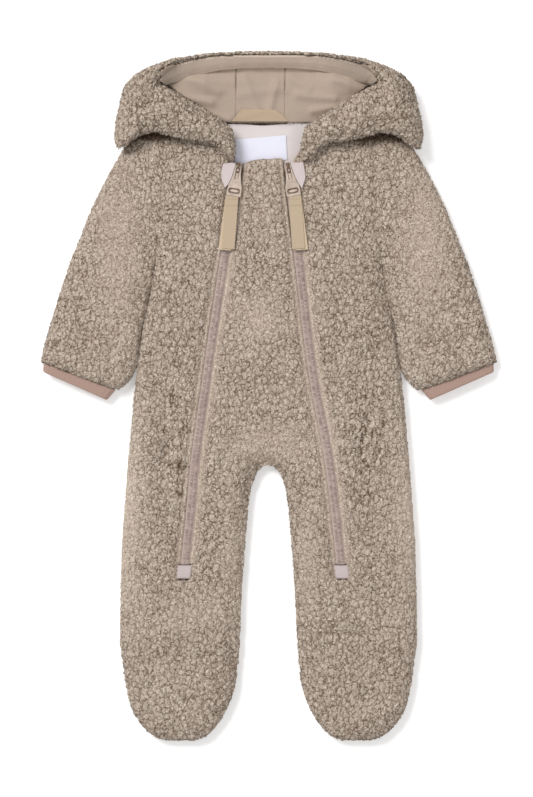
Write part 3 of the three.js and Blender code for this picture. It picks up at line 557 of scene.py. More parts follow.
ZIP_END_Y = -186
print("zip widths apart at the neck", zip_x("right", 231) - zip_x("left", 231))

# %% [markdown]
# The curls themselves are grown by Geometry Nodes. The distance to the nearest point
# of a Voronoi pattern gives rounded clumps, and noise bends the pattern so that no grid
# shows. A slower noise lets the pile lie lower in places, and another one parts it in
# long wandering furrows on the thighs. The mesh keeps the pattern, the liveliness and
# the furrows for the material. A displacement painted by hand would never cover this
# much cloth evenly.

# %% Curly pile
GEOMETRY = "NodeSocketGeometry"
BEND = {"scale": 0.21, "by": 7.0}
LOWER = {"scale": 0.075, "from": 0.36, "to": 0.56, "share": 0.85}
FURROW = {"stretch": (0.115, 0.03, 0.05), "wide": 0.032, "deep": 1.1}
RELIEF = {"top": 0.38, "foot": -0.62}


def pile_nodes():
    tree = bpy.data.node_groups.new("Curly pile", "GeometryNodeTree")
    tree.interface.new_socket("Geometry", in_out="INPUT", socket_type=GEOMETRY)
    for label in ("Clump", "Depth", "Stretch"):
        tree.interface.new_socket(label, in_out="INPUT", socket_type=FLOAT)
    tree.interface.new_socket("Geometry", in_out="OUTPUT", socket_type=GEOMETRY)
    source, sink = add(tree, "NodeGroupInput"), add(tree, "NodeGroupOutput")

    def vector(operation, a, b):
        return add(tree, "ShaderNodeVectorMath", {0: a, 1: b}, operation=operation).outputs[0]

    def store(geometry, name, value, kind):
        node = add(tree, "GeometryNodeStoreNamedAttribute", {
            "Geometry": geometry, "Name": name}, data_type=kind, domain="POINT")
        tree.links.new(value, node.inputs["Value"])
        return node.outputs["Geometry"]

    def stored(name):
        return add(tree, "GeometryNodeInputNamedAttribute", {
            "Name": name}, data_type="FLOAT").outputs["Attribute"]

    place = vector("MULTIPLY", add(
        tree, "GeometryNodeInputPosition").outputs[0], (1 / MM,) * 3)
    lean = add(tree, "ShaderNodeCombineXYZ", {0: 1.0, 1: source.outputs["Stretch"], 2: 1.0})
    drawn = vector("MULTIPLY", place, lean.outputs[0])
    bend = add(tree, "ShaderNodeTexNoise", {
        "Vector": place, "Scale": BEND["scale"], "Detail": 2.0})
    centred = vector("SUBTRACT", bend.outputs["Color"], (0.5,) * 3)
    bent = vector("ADD", drawn, vector("MULTIPLY", centred, (BEND["by"],) * 3))
    size = add(tree, "ShaderNodeCombineXYZ", dict.fromkeys(range(3), source.outputs["Clump"]))
    pattern = vector("DIVIDE", bent, size.outputs[0])
    broad = add(tree, "ShaderNodeTexNoise", {
        "Vector": place, "Scale": LOWER["scale"], "Detail": 1.0})
    broken = smooth_step(
        tree, broad.outputs["Fac"], LOWER["from"], LOWER["to"], LOWER["share"], 1.0)
    lively = math_node(tree, "MULTIPLY", stored("curl"), broken)
    long = vector("MULTIPLY", place, FURROW["stretch"])
    wander = add(tree, "ShaderNodeTexNoise", {"Vector": long, "Scale": 1.0, "Detail": 2.0})
    middle = math_node(tree, "SUBTRACT", wander.outputs["Fac"], 0.5)
    furrow = smooth_step(
        tree, math_node(tree, "ABSOLUTE", middle), 0.0, FURROW["wide"], 1.0, 0.0)
    groove = math_node(tree, "MULTIPLY", furrow, stored("streak"))
    away = add(
        tree, "ShaderNodeTexVoronoi", {"Vector": pattern, "Randomness": UNEVEN}, feature="F1")
    low = smooth_step(tree, away.outputs["Distance"], CLUMP_TOP, CLUMP_FOOT,
                      RELIEF["top"], RELIEF["foot"])
    deep = math_node(tree, "MULTIPLY", source.outputs["Depth"], MM)
    curled = math_node(tree, "MULTIPLY", math_node(tree, "MULTIPLY", low, lively), deep)
    amount = math_node(tree, "MULTIPLY_ADD", groove, -FURROW["deep"] * MM, curled)
    along = add(tree, "ShaderNodeVectorMath", {
        0: add(tree, "GeometryNodeInputNormal").outputs[0], "Scale": amount},
        operation="SCALE").outputs[0]
    marked = store(source.outputs["Geometry"], "pattern", pattern, "FLOAT_VECTOR")
    marked = store(marked, "lively", lively, "FLOAT")
    marked = store(marked, "groove", groove, "FLOAT")
    moved = add(tree, "GeometryNodeSetPosition", {"Geometry": marked, "Offset": along})
    tree.links.new(moved.outputs["Geometry"], sink.inputs["Geometry"])
    return tree


PILE = pile_nodes()
print("pile group has", len(PILE.nodes), "nodes")

# %% [markdown]
# Rolls, stitches and the lining are set on the cloth below them. Two helpers serve
# them all: one finds the cloth's height under a spot, looking down from above, and one
# walks along a line in even steps.

# %% Surface heights
RAY_FROM = 0.2


def shape_tree(*meshes):
    """A search tree over meshes, for heights seen from above."""
    bm = bmesh.new()
    for mesh in meshes:
        bm.from_mesh(mesh)
    tree = BVHTree.FromBMesh(bm)
    bm.free()
    return tree


def height_at(tree, x, y):
    """Height in millimetres of the highest surface at a place in plan, or None."""
    hit = tree.ray_cast(Vector((x * MM, y * MM, RAY_FROM)), Vector((0, 0, -1)))[0]
    return None if hit is None else hit.z / MM


def walked(line, step):
    """Even spots along a line of (x, y) points in millimetres, with their headings."""
    points = np.array(line, float)
    run = np.concatenate([[0], np.cumsum(np.hypot(*np.diff(points, axis=0).T))])
    at = np.linspace(0, run[-1], max(2, round(run[-1] / step) + 1))
    spots = np.column_stack([np.interp(at, run, points[:, i]) for i in (0, 1)])
    ahead = np.gradient(spots, axis=0)
    return spots, ahead / np.linalg.norm(ahead, axis=1)[:, None]


FLEECE_NODES = [n for n in nodes if n.startswith(("front", "sleeve", "vamp"))]
solid_tree = shape_tree(*(nodes[n].data for n in FLEECE_NODES))
print("crown at the belly", round(height_at(solid_tree, 0, 0), 1), "mm")

# %% [markdown]
# Brushed pile hides most seams of teddy fleece: the fibres of one panel are combed
# over the edge of the next. So one panel of each pair gets a soft roll along the seam
# before its remesh, and the roll becomes one with the panel and closes the gap.

# %% Rolls along the seams
ARMHOLE = ((104, 262), (105, 230), (107, 200), (110, 168), (113.5, 141))
VAMP_SEAM = ((38, -271), (50, -267), (70, -263), (88.5, -262), (107, -263), (127, -267),
             (138, -271))
BELOW_ZIP = (-187.5, -205, -222, -240, -260)
ROLL = {"radius": 3.0, "step": 1.6, "reach": 5.0}


def mirrored(line):
    return tuple((-x, y) for x, y in line)


def below_zip(side):
    return tuple((zip_x(side, y), y) for y in BELOW_ZIP)


ROLLS = {
    "vamp_left": [(mirrored(VAMP_SEAM), 0.5)],
    "vamp_right": [(VAMP_SEAM, 0.5)],
    "front_side_left": [(below_zip("left"), 0.4), (mirrored(ARMHOLE), 0.9)],
    "front_side_right": [(below_zip("right"), 0.4), (ARMHOLE, 0.9)],
}


def add_roll(obj, line, below):
    """Adds a row of overlapping balls that fill the seam, below the cloth beside it."""
    spots, headings = walked(line, ROLL["step"])
    with edited(obj.data) as bm:
        for (x, y), (ahead_x, ahead_y) in zip(spots, headings):
            beside = [height_at(solid_tree, x - side * ahead_y * ROLL["reach"],
                                y + side * ahead_x * ROLL["reach"]) for side in (-1, 1)]
            top = min(z for z in beside if z is not None) - below
            place = Vector((x, y, top - ROLL["radius"])) * MM
            bmesh.ops.create_icosphere(
                bm, subdivisions=2, radius=ROLL["radius"] * MM,
                matrix=Matrix.Translation(place))


print("seams with a roll:", ", ".join(ROLLS))

# %% [markdown]
# Two things change the pile near an edge. Beside a zip the cloth is stitched down, so
# there is a narrow valley and the pile lies flat. Elsewhere the pile stands out over
# the edge of the cut cloth, so a panel grows sideways and meets its neighbour over the
# seam, most of all on the shoulders.

# %% Valleys and growth
# The valley's shade is painted shade: the colour is darker in each valley.
VALLEY = {"off": 8.4, "deep": 1.5, "wide": 1.2, "fade": 1.6, "press": 0.72, "shade": 0.13}
GROWTH = np.array((
    # y, on the left, on the right
    (-345, 1.5, 1.3), (-250, 1.2, 1.2), (-200, 0.7, 1.0), (-40, 0.5, 1.0),
    (0, 1.0, 1.5), (345, 1.0, 1.5),
)).T
NEAR_ZIP = {"growth": 0.35, "reach": 7, "fade": 6, "top": 238}
CREST = {"growth": -1.0, "from": 318, "over": 14}
SHOULDER = {"from": 250.0, "growth": 1.8, "facing": 0.2}


def zip_off(x, y):
    """Distance in plan from the nearer zip's centre line."""
    return np.minimum(np.abs(x - zip_x("left", y)), np.abs(x - zip_x("right", y)))


def zip_end_fade(y):
    return np.clip((y - ZIP_END_Y) / NEAR_ZIP["fade"], 0, 1) * (y < NEAR_ZIP["top"])


def beside_zip(x, y):
    """Depth of the stitched valleys beside the zips, and how flat the pile lies there."""
    off = zip_off(x, y)
    valley = VALLEY["deep"] * np.exp(-(((off - VALLEY["off"]) / VALLEY["wide"]) ** 2))
    fade = np.exp(-(((off - VALLEY["off"]) / VALLEY["fade"]) ** 2))
    press = VALLEY["press"] * np.where(off < VALLEY["off"], 1, fade)
    return valley * zip_end_fade(y), press * zip_end_fade(y)


def grown(points, normals, shoulder):
    """Lets the pile stand out sideways: little beside the zips, more at the shoulders."""
    x, y = points[:, 0], points[:, 1]
    open_side = np.where(x < 0, np.interp(y, *GROWTH[[0, 1]]), np.interp(y, *GROWTH[[0, 2]]))
    near = np.exp(-((zip_off(x, y) / NEAR_ZIP["reach"]) ** 4)) * zip_end_fade(y)
    side = open_side + (NEAR_ZIP["growth"] - open_side) * near
    crest = np.clip((y - CREST["from"]) / CREST["over"], 0, 1)
    up = side + (CREST["growth"] - side) * crest
    top = (y > SHOULDER["from"]) & (normals[:, 1] > SHOULDER["facing"])
    up += shoulder * SHOULDER["growth"] * top
    moved = points.copy()
    moved[:, 0] += side * normals[:, 0]
    moved[:, 1] += up * normals[:, 1]
    return moved


print("growth table has", GROWTH.shape[1], "rows")

# %% [markdown]
# A sleeve is a flat tube with two open ends, while its solid is closed. These helpers
# take the closing faces off, draw the upper end over the body's armhole, gather the
# lower end into its binding, and give the cloth that is left a wall inwards.

# %% Open tubes
OPEN_ENDS = (((104, 266), (113.5, 137)), ((227.5, 34), (151, 6)))
OPENINGS = {"sleeve_left": tuple(mirrored(end) for end in OPEN_ENDS), "sleeve_right": OPEN_ENDS}
CAP = {"reach": 1.8, "facing": 0.55}
REACH_OUT = {"by": 1.7, "from": 6.0}
PINCH = {"from": 7.0, "level": 9.0, "share": 0.42}
WALL = 2.2


def opened(obj, ends):
    """Takes the two closing faces off a flat tube, so that only its cloth is left."""
    with edited(obj.data) as bm:
        caps = set()
        for (x0, y0), (x1, y1) in ends:
            out = Vector((y1 - y0, x0 - x1, 0)).normalized()
            for face in bm.faces:
                off = (face.calc_center_median() - Vector((x0, y0, 0)) * MM).dot(out)
                if abs(off) < CAP["reach"] * MM and abs(face.normal.dot(out)) > CAP["facing"]:
                    caps.add(face)
        bmesh.ops.delete(bm, geom=list(caps), context="FACES")
        loose = [v for v in bm.verts if not v.link_faces]
        bmesh.ops.delete(bm, geom=loose, context="VERTS")


def beyond(points, end):
    """How far each point lies past a tube's end, and which way that is."""
    (x0, y0), (x1, y1) = end
    out = np.array((y1 - y0, x0 - x1)) / math.hypot(x1 - x0, y1 - y0)
    out *= np.sign((out * ((x0, y0) - points[:, :2].mean(0))).sum())
    return (points[:, :2] - (x0, y0)) @ out, out


def drawn_out(points, ends):
    """Draws a tube's ends out a little, over the piece that each is sewn to."""
    for end in ends:
        off, out = beyond(points, end)
        share = np.clip(1 + off / REACH_OUT["from"], 0, 1) * (off < CAP["reach"])
        points[:, :2] += REACH_OUT["by"] * share[:, None] * out
    return points


def pinched(points, end):
    """Rounds a tube off towards its end, where it is gathered into a thin binding."""
    along = np.clip(1 + beyond(points, end)[0] / PINCH["from"], 0, 1)
    share = PINCH["share"] * (1 - np.sqrt(1 - along * along))
    points[:, 2] += share * (PINCH["level"] - points[:, 2])
    return points


def with_wall(obj):
    """Gives an open tube of cloth its thickness, inwards."""
    wall = obj.modifiers.new("wall", "SOLIDIFY")
    wall.thickness = WALL * MM
    wall.offset = -1
    return settled(obj)


print("tubes to open:", ", ".join(OPENINGS))

# %% [markdown]
# One function dresses a panel. It lets the panel grow by the pile's thickness, so that
# neighbours meet over their seam as brushed cloth does. It presses the folds and the
# stitched valleys beside the zips in, says how much curl each point has, grows the
# pile, and merges the hidden flat underside into one face, because nobody sees it
# and its thousands of quads would only slow the file.

# %% Dress a fleece panel
FRONT_UNDER = 9.0
FLAT = {"facing": -0.98, "within": 0.4}
UNDERSIDE = {"facing": -0.6, "within": 0.6}


def hide_flat(obj, level):
    """Merges the level faces that look down at that height into one face."""
    with edited(obj.data) as bm:
        hidden = [f for f in bm.faces if f.normal.z < FLAT["facing"]
                  and abs(f.calc_center_median().z - level * MM) < FLAT["within"] * MM]
        if hidden:
            bmesh.ops.dissolve_faces(bm, faces=hidden, use_verts=True)
            wide = [f for f in bm.faces if len(f.verts) > 4]
            bmesh.ops.triangulate(bm, faces=wide)


def grow_pile(obj, clump=4.3, depth=1.5, stretch=0.72):
    """Grows curls: clump is their size, depth their relief, both in millimetres."""
    pile = obj.modifiers.new("pile", "NODES")
    pile.node_group = PILE
    for label, value in (("Clump", clump), ("Depth", depth), ("Stretch", stretch)):
        pile[PILE.interface.items_tree[label].identifier] = value
    settled(obj)
    obj.data.materials.clear()
    obj.data.materials.append(FLEECE)
    obj.data.shade_smooth()
    return obj


def on_floor(obj):
    """Presses all that would dip below the floor level with it, as a floor does."""
    points = points_of(obj)
    points[:, 2] = np.maximum(points[:, 2], 0)
    set_points(obj, points)
    return obj


def fleece_panel(node, voxel, under=None, folds=1.0, level_rounds=26, rounds=2, **pile):
    """Dresses one panel. under is the height of a hidden flat underside, if it has one."""
    obj = copy_of(node, f"{node}_pile")
    for line, below in ROLLS.get(node, ()):
        add_roll(obj, line, below)
    remeshed(obj, voxel, level_rounds, rounds)
    if node in OPENINGS:
        opened(obj, OPENINGS[node])
    normals = normals_of(obj)
    points = grown(points_of(obj), normals, not node.startswith("hood"))
    if node in OPENINGS:
        points = pinched(drawn_out(points, OPENINGS[node]), OPENINGS[node][1])
    x, y = points[:, 0], points[:, 1]
    facing = normals[:, 2]
    upper = np.clip(facing * 2, 0, 1)
    curl, tone = curl_share(x, y), tone_shift(x, y)
    # The hood's shadow on the shoulders is painted into the tone of the body's panels.
    if not node.startswith("hood"):
        tone -= in_patches(x, y, HOOD_PAINTED_SHADOW)
    if node.startswith("front"):
        valley, press = beside_zip(x, y)
        points[:, 2] -= valley * upper
        curl -= press
        # Painted shade: the colour is darker in the stitched valley, where shade falls.
        tone -= VALLEY["shade"] * valley / VALLEY["deep"]
    points[:, 2] -= folds * along_lines(x, y, FOLDS) * upper
    set_points(obj, points)
    if under is not None:
        low = points[:, 2] < under + UNDERSIDE["within"]
        curl = np.where((facing < UNDERSIDE["facing"]) & low, 0, curl)
    set_attribute(obj, "curl", np.clip(curl, 0.0, 1))
    set_attribute(obj, "tone", tone)
    set_attribute(obj, "streak", folds * in_patches(x, y, STREAKED) * upper)
    grow_pile(obj, **pile)
    on_floor(obj)
    if under is not None:
        hide_flat(obj, under)
    finish_piece(obj, "fleece", node)
    print(obj.name, len(obj.data.polygons), "faces")
    return obj


print("pile group", PILE.name, "ready for the panels")

# %% [markdown]
# The front is three panels, with a zip in each of the two seams between them, and each
# foot has a curved upper. They show most, so their quads are finest.

# %% Front and feet
FINE = 1.25
panels = {}
for node in ("front_center", "front_side_left", "front_side_right", "vamp_left", "vamp_right"):
    panels[node] = fleece_panel(node, FINE, under=FRONT_UNDER)

# %% [markdown]
# A sleeve is a tube of fleece laid flat, with nothing inside. Its ends are opened, its
# outer side is dressed like the other panels, and last its cloth gets a wall inwards.

# %% Sleeves
TUBE = 1.5
for node in ("sleeve_left", "sleeve_right"):
    panels[node] = on_floor(with_wall(fleece_panel(node, TUBE)))

# %% [markdown]
# The back and the soles lie under the front, and only their rims show. They are cut
# whole, with coarser quads and no folds, so that they cost little.

# %% Back and soles
COARSE = 2.4
for node in ("back", "sole_left", "sole_right"):
    panels[node] = fleece_panel(node, COARSE, folds=0, level_rounds=6, rounds=1, depth=1.6)

# %% [markdown]
# The hood has three panels: two sides and a strip between them. It is folded over
# softly, and its pile stands longer than on the body, so the clumps are larger.

# %% Hood
for node in ("hood_left", "hood_center", "hood_right"):
    panels[node] = fleece_panel(
        node, FINE, folds=0, level_rounds=0, rounds=8, clump=5.2, depth=2.7)

# %% [markdown]
# All the other cloths are woven or knitted, and a shared group draws their threads. It
# reads the thread directions that each piece stores in millimetres, so a slanted strap
# or cuff has slanted threads. A count, a slant and a rib tell one weave from another.

# %% Woven cloths
def weave_group():
    """Crossing threads: their height, and a shade with slubs."""
    group, source, sink = new_group(
        "Weave", [("Count", FLOAT, 2.0), ("Slant", FLOAT, 0.0), ("Rib", FLOAT, 1.0)],
        [("Height", FLOAT), ("Shade", FLOAT)])
    place = attribute(group, "thread").outputs["Vector"]
    along = add(group, "ShaderNodeSeparateXYZ", {0: place})
    turns = math_node(group, "MULTIPLY", source.outputs["Count"], math.pi)
    shifted = math_node(
        group, "MULTIPLY_ADD", along.outputs[1], source.outputs["Slant"], along.outputs[0])
    warp = math_node(group, "SINE", math_node(group, "MULTIPLY", shifted, turns))
    ribbed = math_node(group, "MULTIPLY", turns, source.outputs["Rib"])
    weft = math_node(group, "SINE", math_node(group, "MULTIPLY", along.outputs[1], ribbed))
    crossed = math_node(group, "MULTIPLY", warp, weft)
    slubs = add(group, "ShaderNodeTexNoise", {
        "Vector": place, "Scale": 0.8, "Detail": 4.0, "Roughness": 0.7}).outputs["Fac"]
    uneven = math_node(group, "MULTIPLY_ADD", slubs, 1.6, -0.8)
    height = math_node(group, "MULTIPLY_ADD", crossed, 0.5, slubs)
    shade = math_node(group, "MULTIPLY_ADD", crossed, 0.3, uneven)
    group.links.new(height, sink.inputs["Height"])
    group.links.new(shade, sink.inputs["Shade"])
    return group


WEAVE = weave_group()


def shades(colour, darker, lighter):
    """Two linear colours, one darker and one lighter than the colour by those shares."""
    return [tuple(part * share for part in srgb(*colour)[:3]) + (1,)
            for share in (darker, lighter)]


def cloth_material(name, colour, count=2.0, slant=0.0, rib=1.0, spread=0.14, deep=0.12,
                   roughness=0.88, sheen=0.1):
    """A woven cloth: spread is how far its shade varies, deep its relief in mm."""
    material, tree, shader = new_material(name, {
        "Roughness": roughness, "Specular IOR Level": 0.2, "Sheen Weight": sheen})
    weave = add(tree, "ShaderNodeGroup", {
        "Count": count, "Slant": slant, "Rib": rib}, node_tree=WEAVE)
    shade = math_node(tree, "MULTIPLY_ADD", weave.outputs["Shade"], 0.5, 0.5)
    toned = math_node(tree, "ADD", shade, attribute(tree, "tone").outputs["Fac"])
    low, high = shades(colour, 1 - 2 * spread, 1 + 2 * spread)
    tree.links.new(ramp(tree, toned, ((0.0, low), (1.0, high))), shader.inputs["Base Color"])
    bump = add(tree, "ShaderNodeBump", {
        "Height": weave.outputs["Height"], "Strength": 0.8, "Distance": deep * MM})
    tree.links.new(bump.outputs["Normal"], shader.inputs["Normal"])
    return material


CLOTHS = {
    "lining": cloth_material("lining jersey", (173, 156, 141), count=1.4, spread=0.14),
    # The facing's colour is painted lighter than the cloth, to lift the middle of the band, which
    # slopes away from the lamps.
    "facing": cloth_material("facing", (195, 177, 162), count=1.6, spread=0.18),
    "binding": cloth_material("elastic binding", (167, 140, 128), count=1.2, rib=0.4,
                              spread=0.2, deep=0.2),
    "zip_tape": cloth_material("zip tape", (184, 166, 158), count=1.5, rib=0.5, spread=0.22),
    "pale_trim": cloth_material("pale tape", (204, 191, 189), count=1.8, spread=0.08),
    "neck_facing": cloth_material("neck facing", (217, 208, 206), count=1.6, spread=0.07),
    "webbing": cloth_material("webbing", (186, 167, 142), count=1.1, slant=0.5, rib=0.7,
                              spread=0.12, deep=0.25),
    "loop": cloth_material("loop tape", (180, 159, 136), count=1.4, slant=1.0, spread=0.12),
    "label": cloth_material("satin label", (227, 227, 240), count=3.0, rib=0.3, spread=0.03,
                            deep=0.04, roughness=0.45, sheen=0.0),
}
print("cloths", ", ".join(CLOTHS))

# %% [markdown]
# Every other cloth piece is dressed in two steps. Its points get their place along the
# threads, for the weave, and it gets its material. Before that a thin piece is cut into
# small squares, since the few large faces of its solid could not bend.

# %% Dress a cloth piece
def latticed(obj, step):
    """Cuts the piece into squares seen from above."""
    with edited(obj.data) as bm:
        corners = np.array([v.co for v in bm.verts])
        for axis in (0, 1):
            normal = Vector((axis == 0, axis == 1, 0))
            for at in np.arange(
                    corners[:, axis].min(), corners[:, axis].max(), step * MM)[1:]:
                bmesh.ops.bisect_plane(
                    bm, geom=bm.verts[:] + bm.edges[:] + bm.faces[:], dist=1e-7,
                    plane_co=normal * at, plane_no=normal)
    return obj


def set_threads(obj, turn=0.0):
    """Stores each point's place along the cloth's two threads, in millimetres."""
    x, y = points_of(obj)[:, :2].T
    cos, sin = math.cos(math.radians(turn)), math.sin(math.radians(turn))
    threads = np.column_stack([x * cos + y * sin, y * cos - x * sin, np.zeros(len(x))])
    set_attribute(obj, "thread", threads, "FLOAT_VECTOR", "vector")


def dress(obj, slot, turn=0.0, smooth=True):
    """Gives a cloth piece its threads and its material."""
    set_threads(obj, turn)
    if "tone" not in obj.data.attributes:
        set_attribute(obj, "tone", np.zeros(len(obj.data.vertices)))
    obj.data.materials.clear()
    obj.data.materials.append(CLOTHS[slot])
    if smooth:
        obj.data.shade_smooth()
    return obj


print("ready to dress", len(CLOTHS), "kinds of cloth")

# %% [markdown]
# The thin pieces are copies of their solids and are creased from a table. A crease
# moves both sides of the cloth alike, so it keeps its thickness. The neck facing and the
# label over it share their creases and stay clear of each other.

# %% Creased pieces
CREASES = {
    # x0, y0, x1, y1, height, width, in millimetres
    "lining": ((-96, 300, -58, 292, 1.5, 4.5), (-80, 318, -50, 303, 1.1, 5.0),
               (-62, 282, -40, 276, 1.3, 3.5), (-24, 318, -12, 286, 1.0, 4.5),
               (8, 312, 0, 280, 1.2, 4.0), (30, 300, 66, 296, 1.3, 4.5),
               (44, 284, 84, 290, 1.5, 4.0), (66, 316, 96, 304, 1.2, 4.5),
               (-30, 300, 14, 306, 0.7, 5.0), (22, 318, 40, 306, 0.9, 4.0)),
    "neck": ((-44, 262, -18, 248, 0.5, 5.0), (-14, 266, 6, 240, 0.45, 5.5),
             (22, 262, 42, 250, 0.6, 4.5), (-30, 236, 2, 232, 0.35, 4.0)),
    "guard": ((-46, 228, -38, 210, 0.25, 2.0), (25, 210, 33, 230, 0.25, 2.0)),
    "loop": ((-30, 277, -8, 283, 0.5, 3.0), (0, 284, 18, 277, 0.5, 3.0)),
}
NECK_TOP = {"from": 264.0, "over": 8.0, "by": 4.5, "beside": 19.0, "fade": 3.0,
            "dip": 1.6, "dip_at": -6.0, "dip_wide": 14.0}


def drawn_up(points):
    """Draws the neck facing's upper edge up beside the loop, and down behind it."""
    x, y = points[:, 0], points[:, 1]
    share = np.clip((y - NECK_TOP["from"]) / NECK_TOP["over"], 0, 1)
    beside = np.clip((x - NECK_TOP["beside"]) / NECK_TOP["fade"], 0, 1)
    dip = NECK_TOP["dip"] * np.exp(-(((x - NECK_TOP["dip_at"]) / NECK_TOP["dip_wide"]) ** 2))
    points[:, 1] += share * (NECK_TOP["by"] * beside - dip)


def thin_piece(node, slot, step, creases, turn=0.0):
    obj = latticed(copy_of(node, f"{node}_cloth"), step)
    points = points_of(obj)
    if node == "neck_facing":
        drawn_up(points)
    points[:, 2] += along_lines(points[:, 0], points[:, 1], CREASES[creases])
    set_points(obj, points)
    dress(obj, slot, turn, smooth=False)
    return finish_piece(obj, slot, node)


for node, slot, step, creases in (
        ("neck_facing", "neck_facing", 2.5, "neck"), ("label", "label", 2.0, "neck"),
        ("hanger_loop", "loop", 1.5, "loop"),
        ("zip_guard_left", "pale_trim", 1.2, "guard"),
        ("zip_guard_right", "pale_trim", 1.2, "guard")):
    panels[node] = thin_piece(node, slot, step, creases)
    print(panels[node].name, len(panels[node].data.polygons), "faces")

# %% [markdown]
# The lining and its facing are soft and rounded, so they are remeshed like the fleece,
# and finer because they are thin. The lining gets its creases, and is drawn up under
# the facing; the facing keeps its slope and only ripples a little along its free hem.

# %% Hood lining
LINING_VOXEL, LINING_TURN = 1.0, 4
TUCK = {"from": 300.0, "share": 0.45, "fade": 14.0, "clear": 1.2, "under": 8.8}
LINING_GROWTH = 0.55
LINING_CREASE = 1.8
hood_tree = shape_tree(*(nodes[n].data for n in ("hood_left", "hood_center", "hood_right")))
for node in ("hood_lining_left", "hood_lining_center", "hood_lining_right"):
    obj = remeshed(copy_of(node, f"{node}_cloth"), LINING_VOXEL, 0, 2)
    points = points_of(obj)
    points[:, :2] += LINING_GROWTH * normals_of(obj)[:, :2]
    points[:, 1] += TUCK["share"] * np.clip(points[:, 1] - TUCK["from"], 0, None)
    x, y = points[:, 0], points[:, 1]
    for i in np.nonzero(y > TUCK["from"])[0]:
        ground = height_at(hood_tree, x[i], y[i])
        if ground is not None:
            share = min(1.0, (y[i] - TUCK["from"]) / TUCK["fade"])
            points[i, 2] += share * max(0.0, ground + TUCK["clear"] - TUCK["under"])
    points[:, 2] += LINING_CREASE * along_lines(x, y, CREASES["lining"])
    set_points(obj, points)
    panels[node] = finish_piece(dress(obj, "lining", LINING_TURN), "lining", node)
    print(obj.name, len(obj.data.polygons), "faces")

# %% [markdown]
# The facing is the wide band round the hood's opening. Its colour is painted darker
# towards its two corners, for the shade where it turns away under the folded sides.

# %% Hood facing
FACING_VOXEL = 0.7
RIPPLE = {"tall": 0.35, "length": 17.0, "below": 27, "over": 10}
FACING_GROWTH = {"by": 1.7, "facing": -0.2}
FACING_PAINTED_SHADE = {"middle": -8.0, "from": 50.0, "over": 45.0, "deep": 0.4}
obj = remeshed(copy_of("hood_facing", "hood_facing_cloth"), FACING_VOXEL, 0, 2)
normals = normals_of(obj)
points = points_of(obj)
outer = (normals[:, 1] > FACING_GROWTH["facing"])[:, None]
points[:, :2] += FACING_GROWTH["by"] * outer * normals[:, :2]
free = np.clip((RIPPLE["below"] - points[:, 2]) / RIPPLE["over"], 0, 1)
points[:, 2] += free * RIPPLE["tall"] * np.sin(points[:, 0] * 2 * math.pi / RIPPLE["length"])
set_points(obj, points)
# Painted shade: the facing is darker towards its corners.
outwards = np.abs(points[:, 0] - FACING_PAINTED_SHADE["middle"]) - FACING_PAINTED_SHADE["from"]
set_attribute(obj, "tone", -FACING_PAINTED_SHADE["deep"] * np.clip(outwards / FACING_PAINTED_SHADE["over"], 0, 1))
panels["hood_facing"] = finish_piece(dress(obj, "facing"), "facing", "hood_facing")
print(obj.name, len(obj.data.polygons), "faces")

# %% [markdown]
# The cuffs end in a narrow elastic binding. Elastic draws its cloth into small even
# gathers, which are a wave along the cuff that lifts both layers apart.

# %% Cuff bindings
CUFF_TURN = {"left": -21.0, "right": 21.0}
CUFF_VOXEL = 0.6
GATHER = {"tall": 0.09, "length": 4.6, "middle": 9.0, "uneven": 1.3, "drift": 5.3}
for side in SIDES:
    node = f"cuff_binding_{side}"
    obj = remeshed(copy_of(node, f"{node}_cloth"), CUFF_VOXEL, 0, 2)
    points = points_of(obj)
    turn = math.radians(CUFF_TURN[side])
    along = points[:, 0] * math.cos(turn) + points[:, 1] * math.sin(turn)
    drift = GATHER["uneven"] * np.sin(along / GATHER["drift"])
    wave = np.sin(along * 2 * math.pi / GATHER["length"] + drift)
    points[:, 2] += GATHER["tall"] * wave * np.clip((points[:, 2] - GATHER["middle"]) / 2, -1, 1)
    set_points(obj, points)
    panels[node] = finish_piece(dress(obj, "binding", CUFF_TURN[side]), "binding", node)
    print(obj.name, len(obj.data.polygons), "faces")

# %% [markdown]
# Each zip is a woven tape with a fine coil down its middle. The tape is a grid drawn
# along the zip's line and given a thickness; the coil is two rows of small loops, one
# for every turn of the wire, and half a turn apart as they are when the zip is closed.

# %% Zips
TAPE = {"half": 4.9, "level": 15.4, "crown": 0.9, "low": 11.4, "thick": 0.8,
        "top": 230.5, "end": -169.5, "ramp_from": 200.0, "ramp_to": 213.0, "grid": 3}
COIL = {"pitch": 1.35, "off": 1.8, "long": 4.0, "thick": 0.85, "top": 213.5, "end": -169.0,
        "wide": 0.72, "above": 0.25, "lean": 0.25, "wobble": 0.06, "speckle": 0.45}
TURN_POINTS = 12
TAPE_TURN = {"left": -7, "right": 7}
random.seed(41)


def tape_level(y):
    share = np.clip((y - TAPE["ramp_from"]) / (TAPE["ramp_to"] - TAPE["ramp_from"]), 0, 1)
    return TAPE["level"] + (TAPE["low"] - TAPE["level"]) * share


def zip_tape(side):
    """A grid along the zip's line, crowned over its middle and given a thickness."""
    long = TAPE["top"] - TAPE["end"]
    tape = new_mesh(f"zip_{side}_tape")
    with edited(tape.data) as bm:
        bmesh.ops.create_grid(bm, x_segments=8, y_segments=round(long / TAPE["grid"]), size=1.0)
        for vert in bm.verts:
            across, y = vert.co.x, TAPE["end"] + (vert.co.y + 1) / 2 * long
            level = tape_level(y) - TAPE["crown"] * across * across
            vert.co = Vector((zip_x(side, y) + across * TAPE["half"], y, level)) * MM
        bmesh.ops.solidify(bm, geom=bm.faces[:], thickness=TAPE["thick"] * MM)
        bmesh.ops.recalc_face_normals(bm, faces=bm.faces[:])
    return dress(tape, "zip_tape", TAPE_TURN[side])


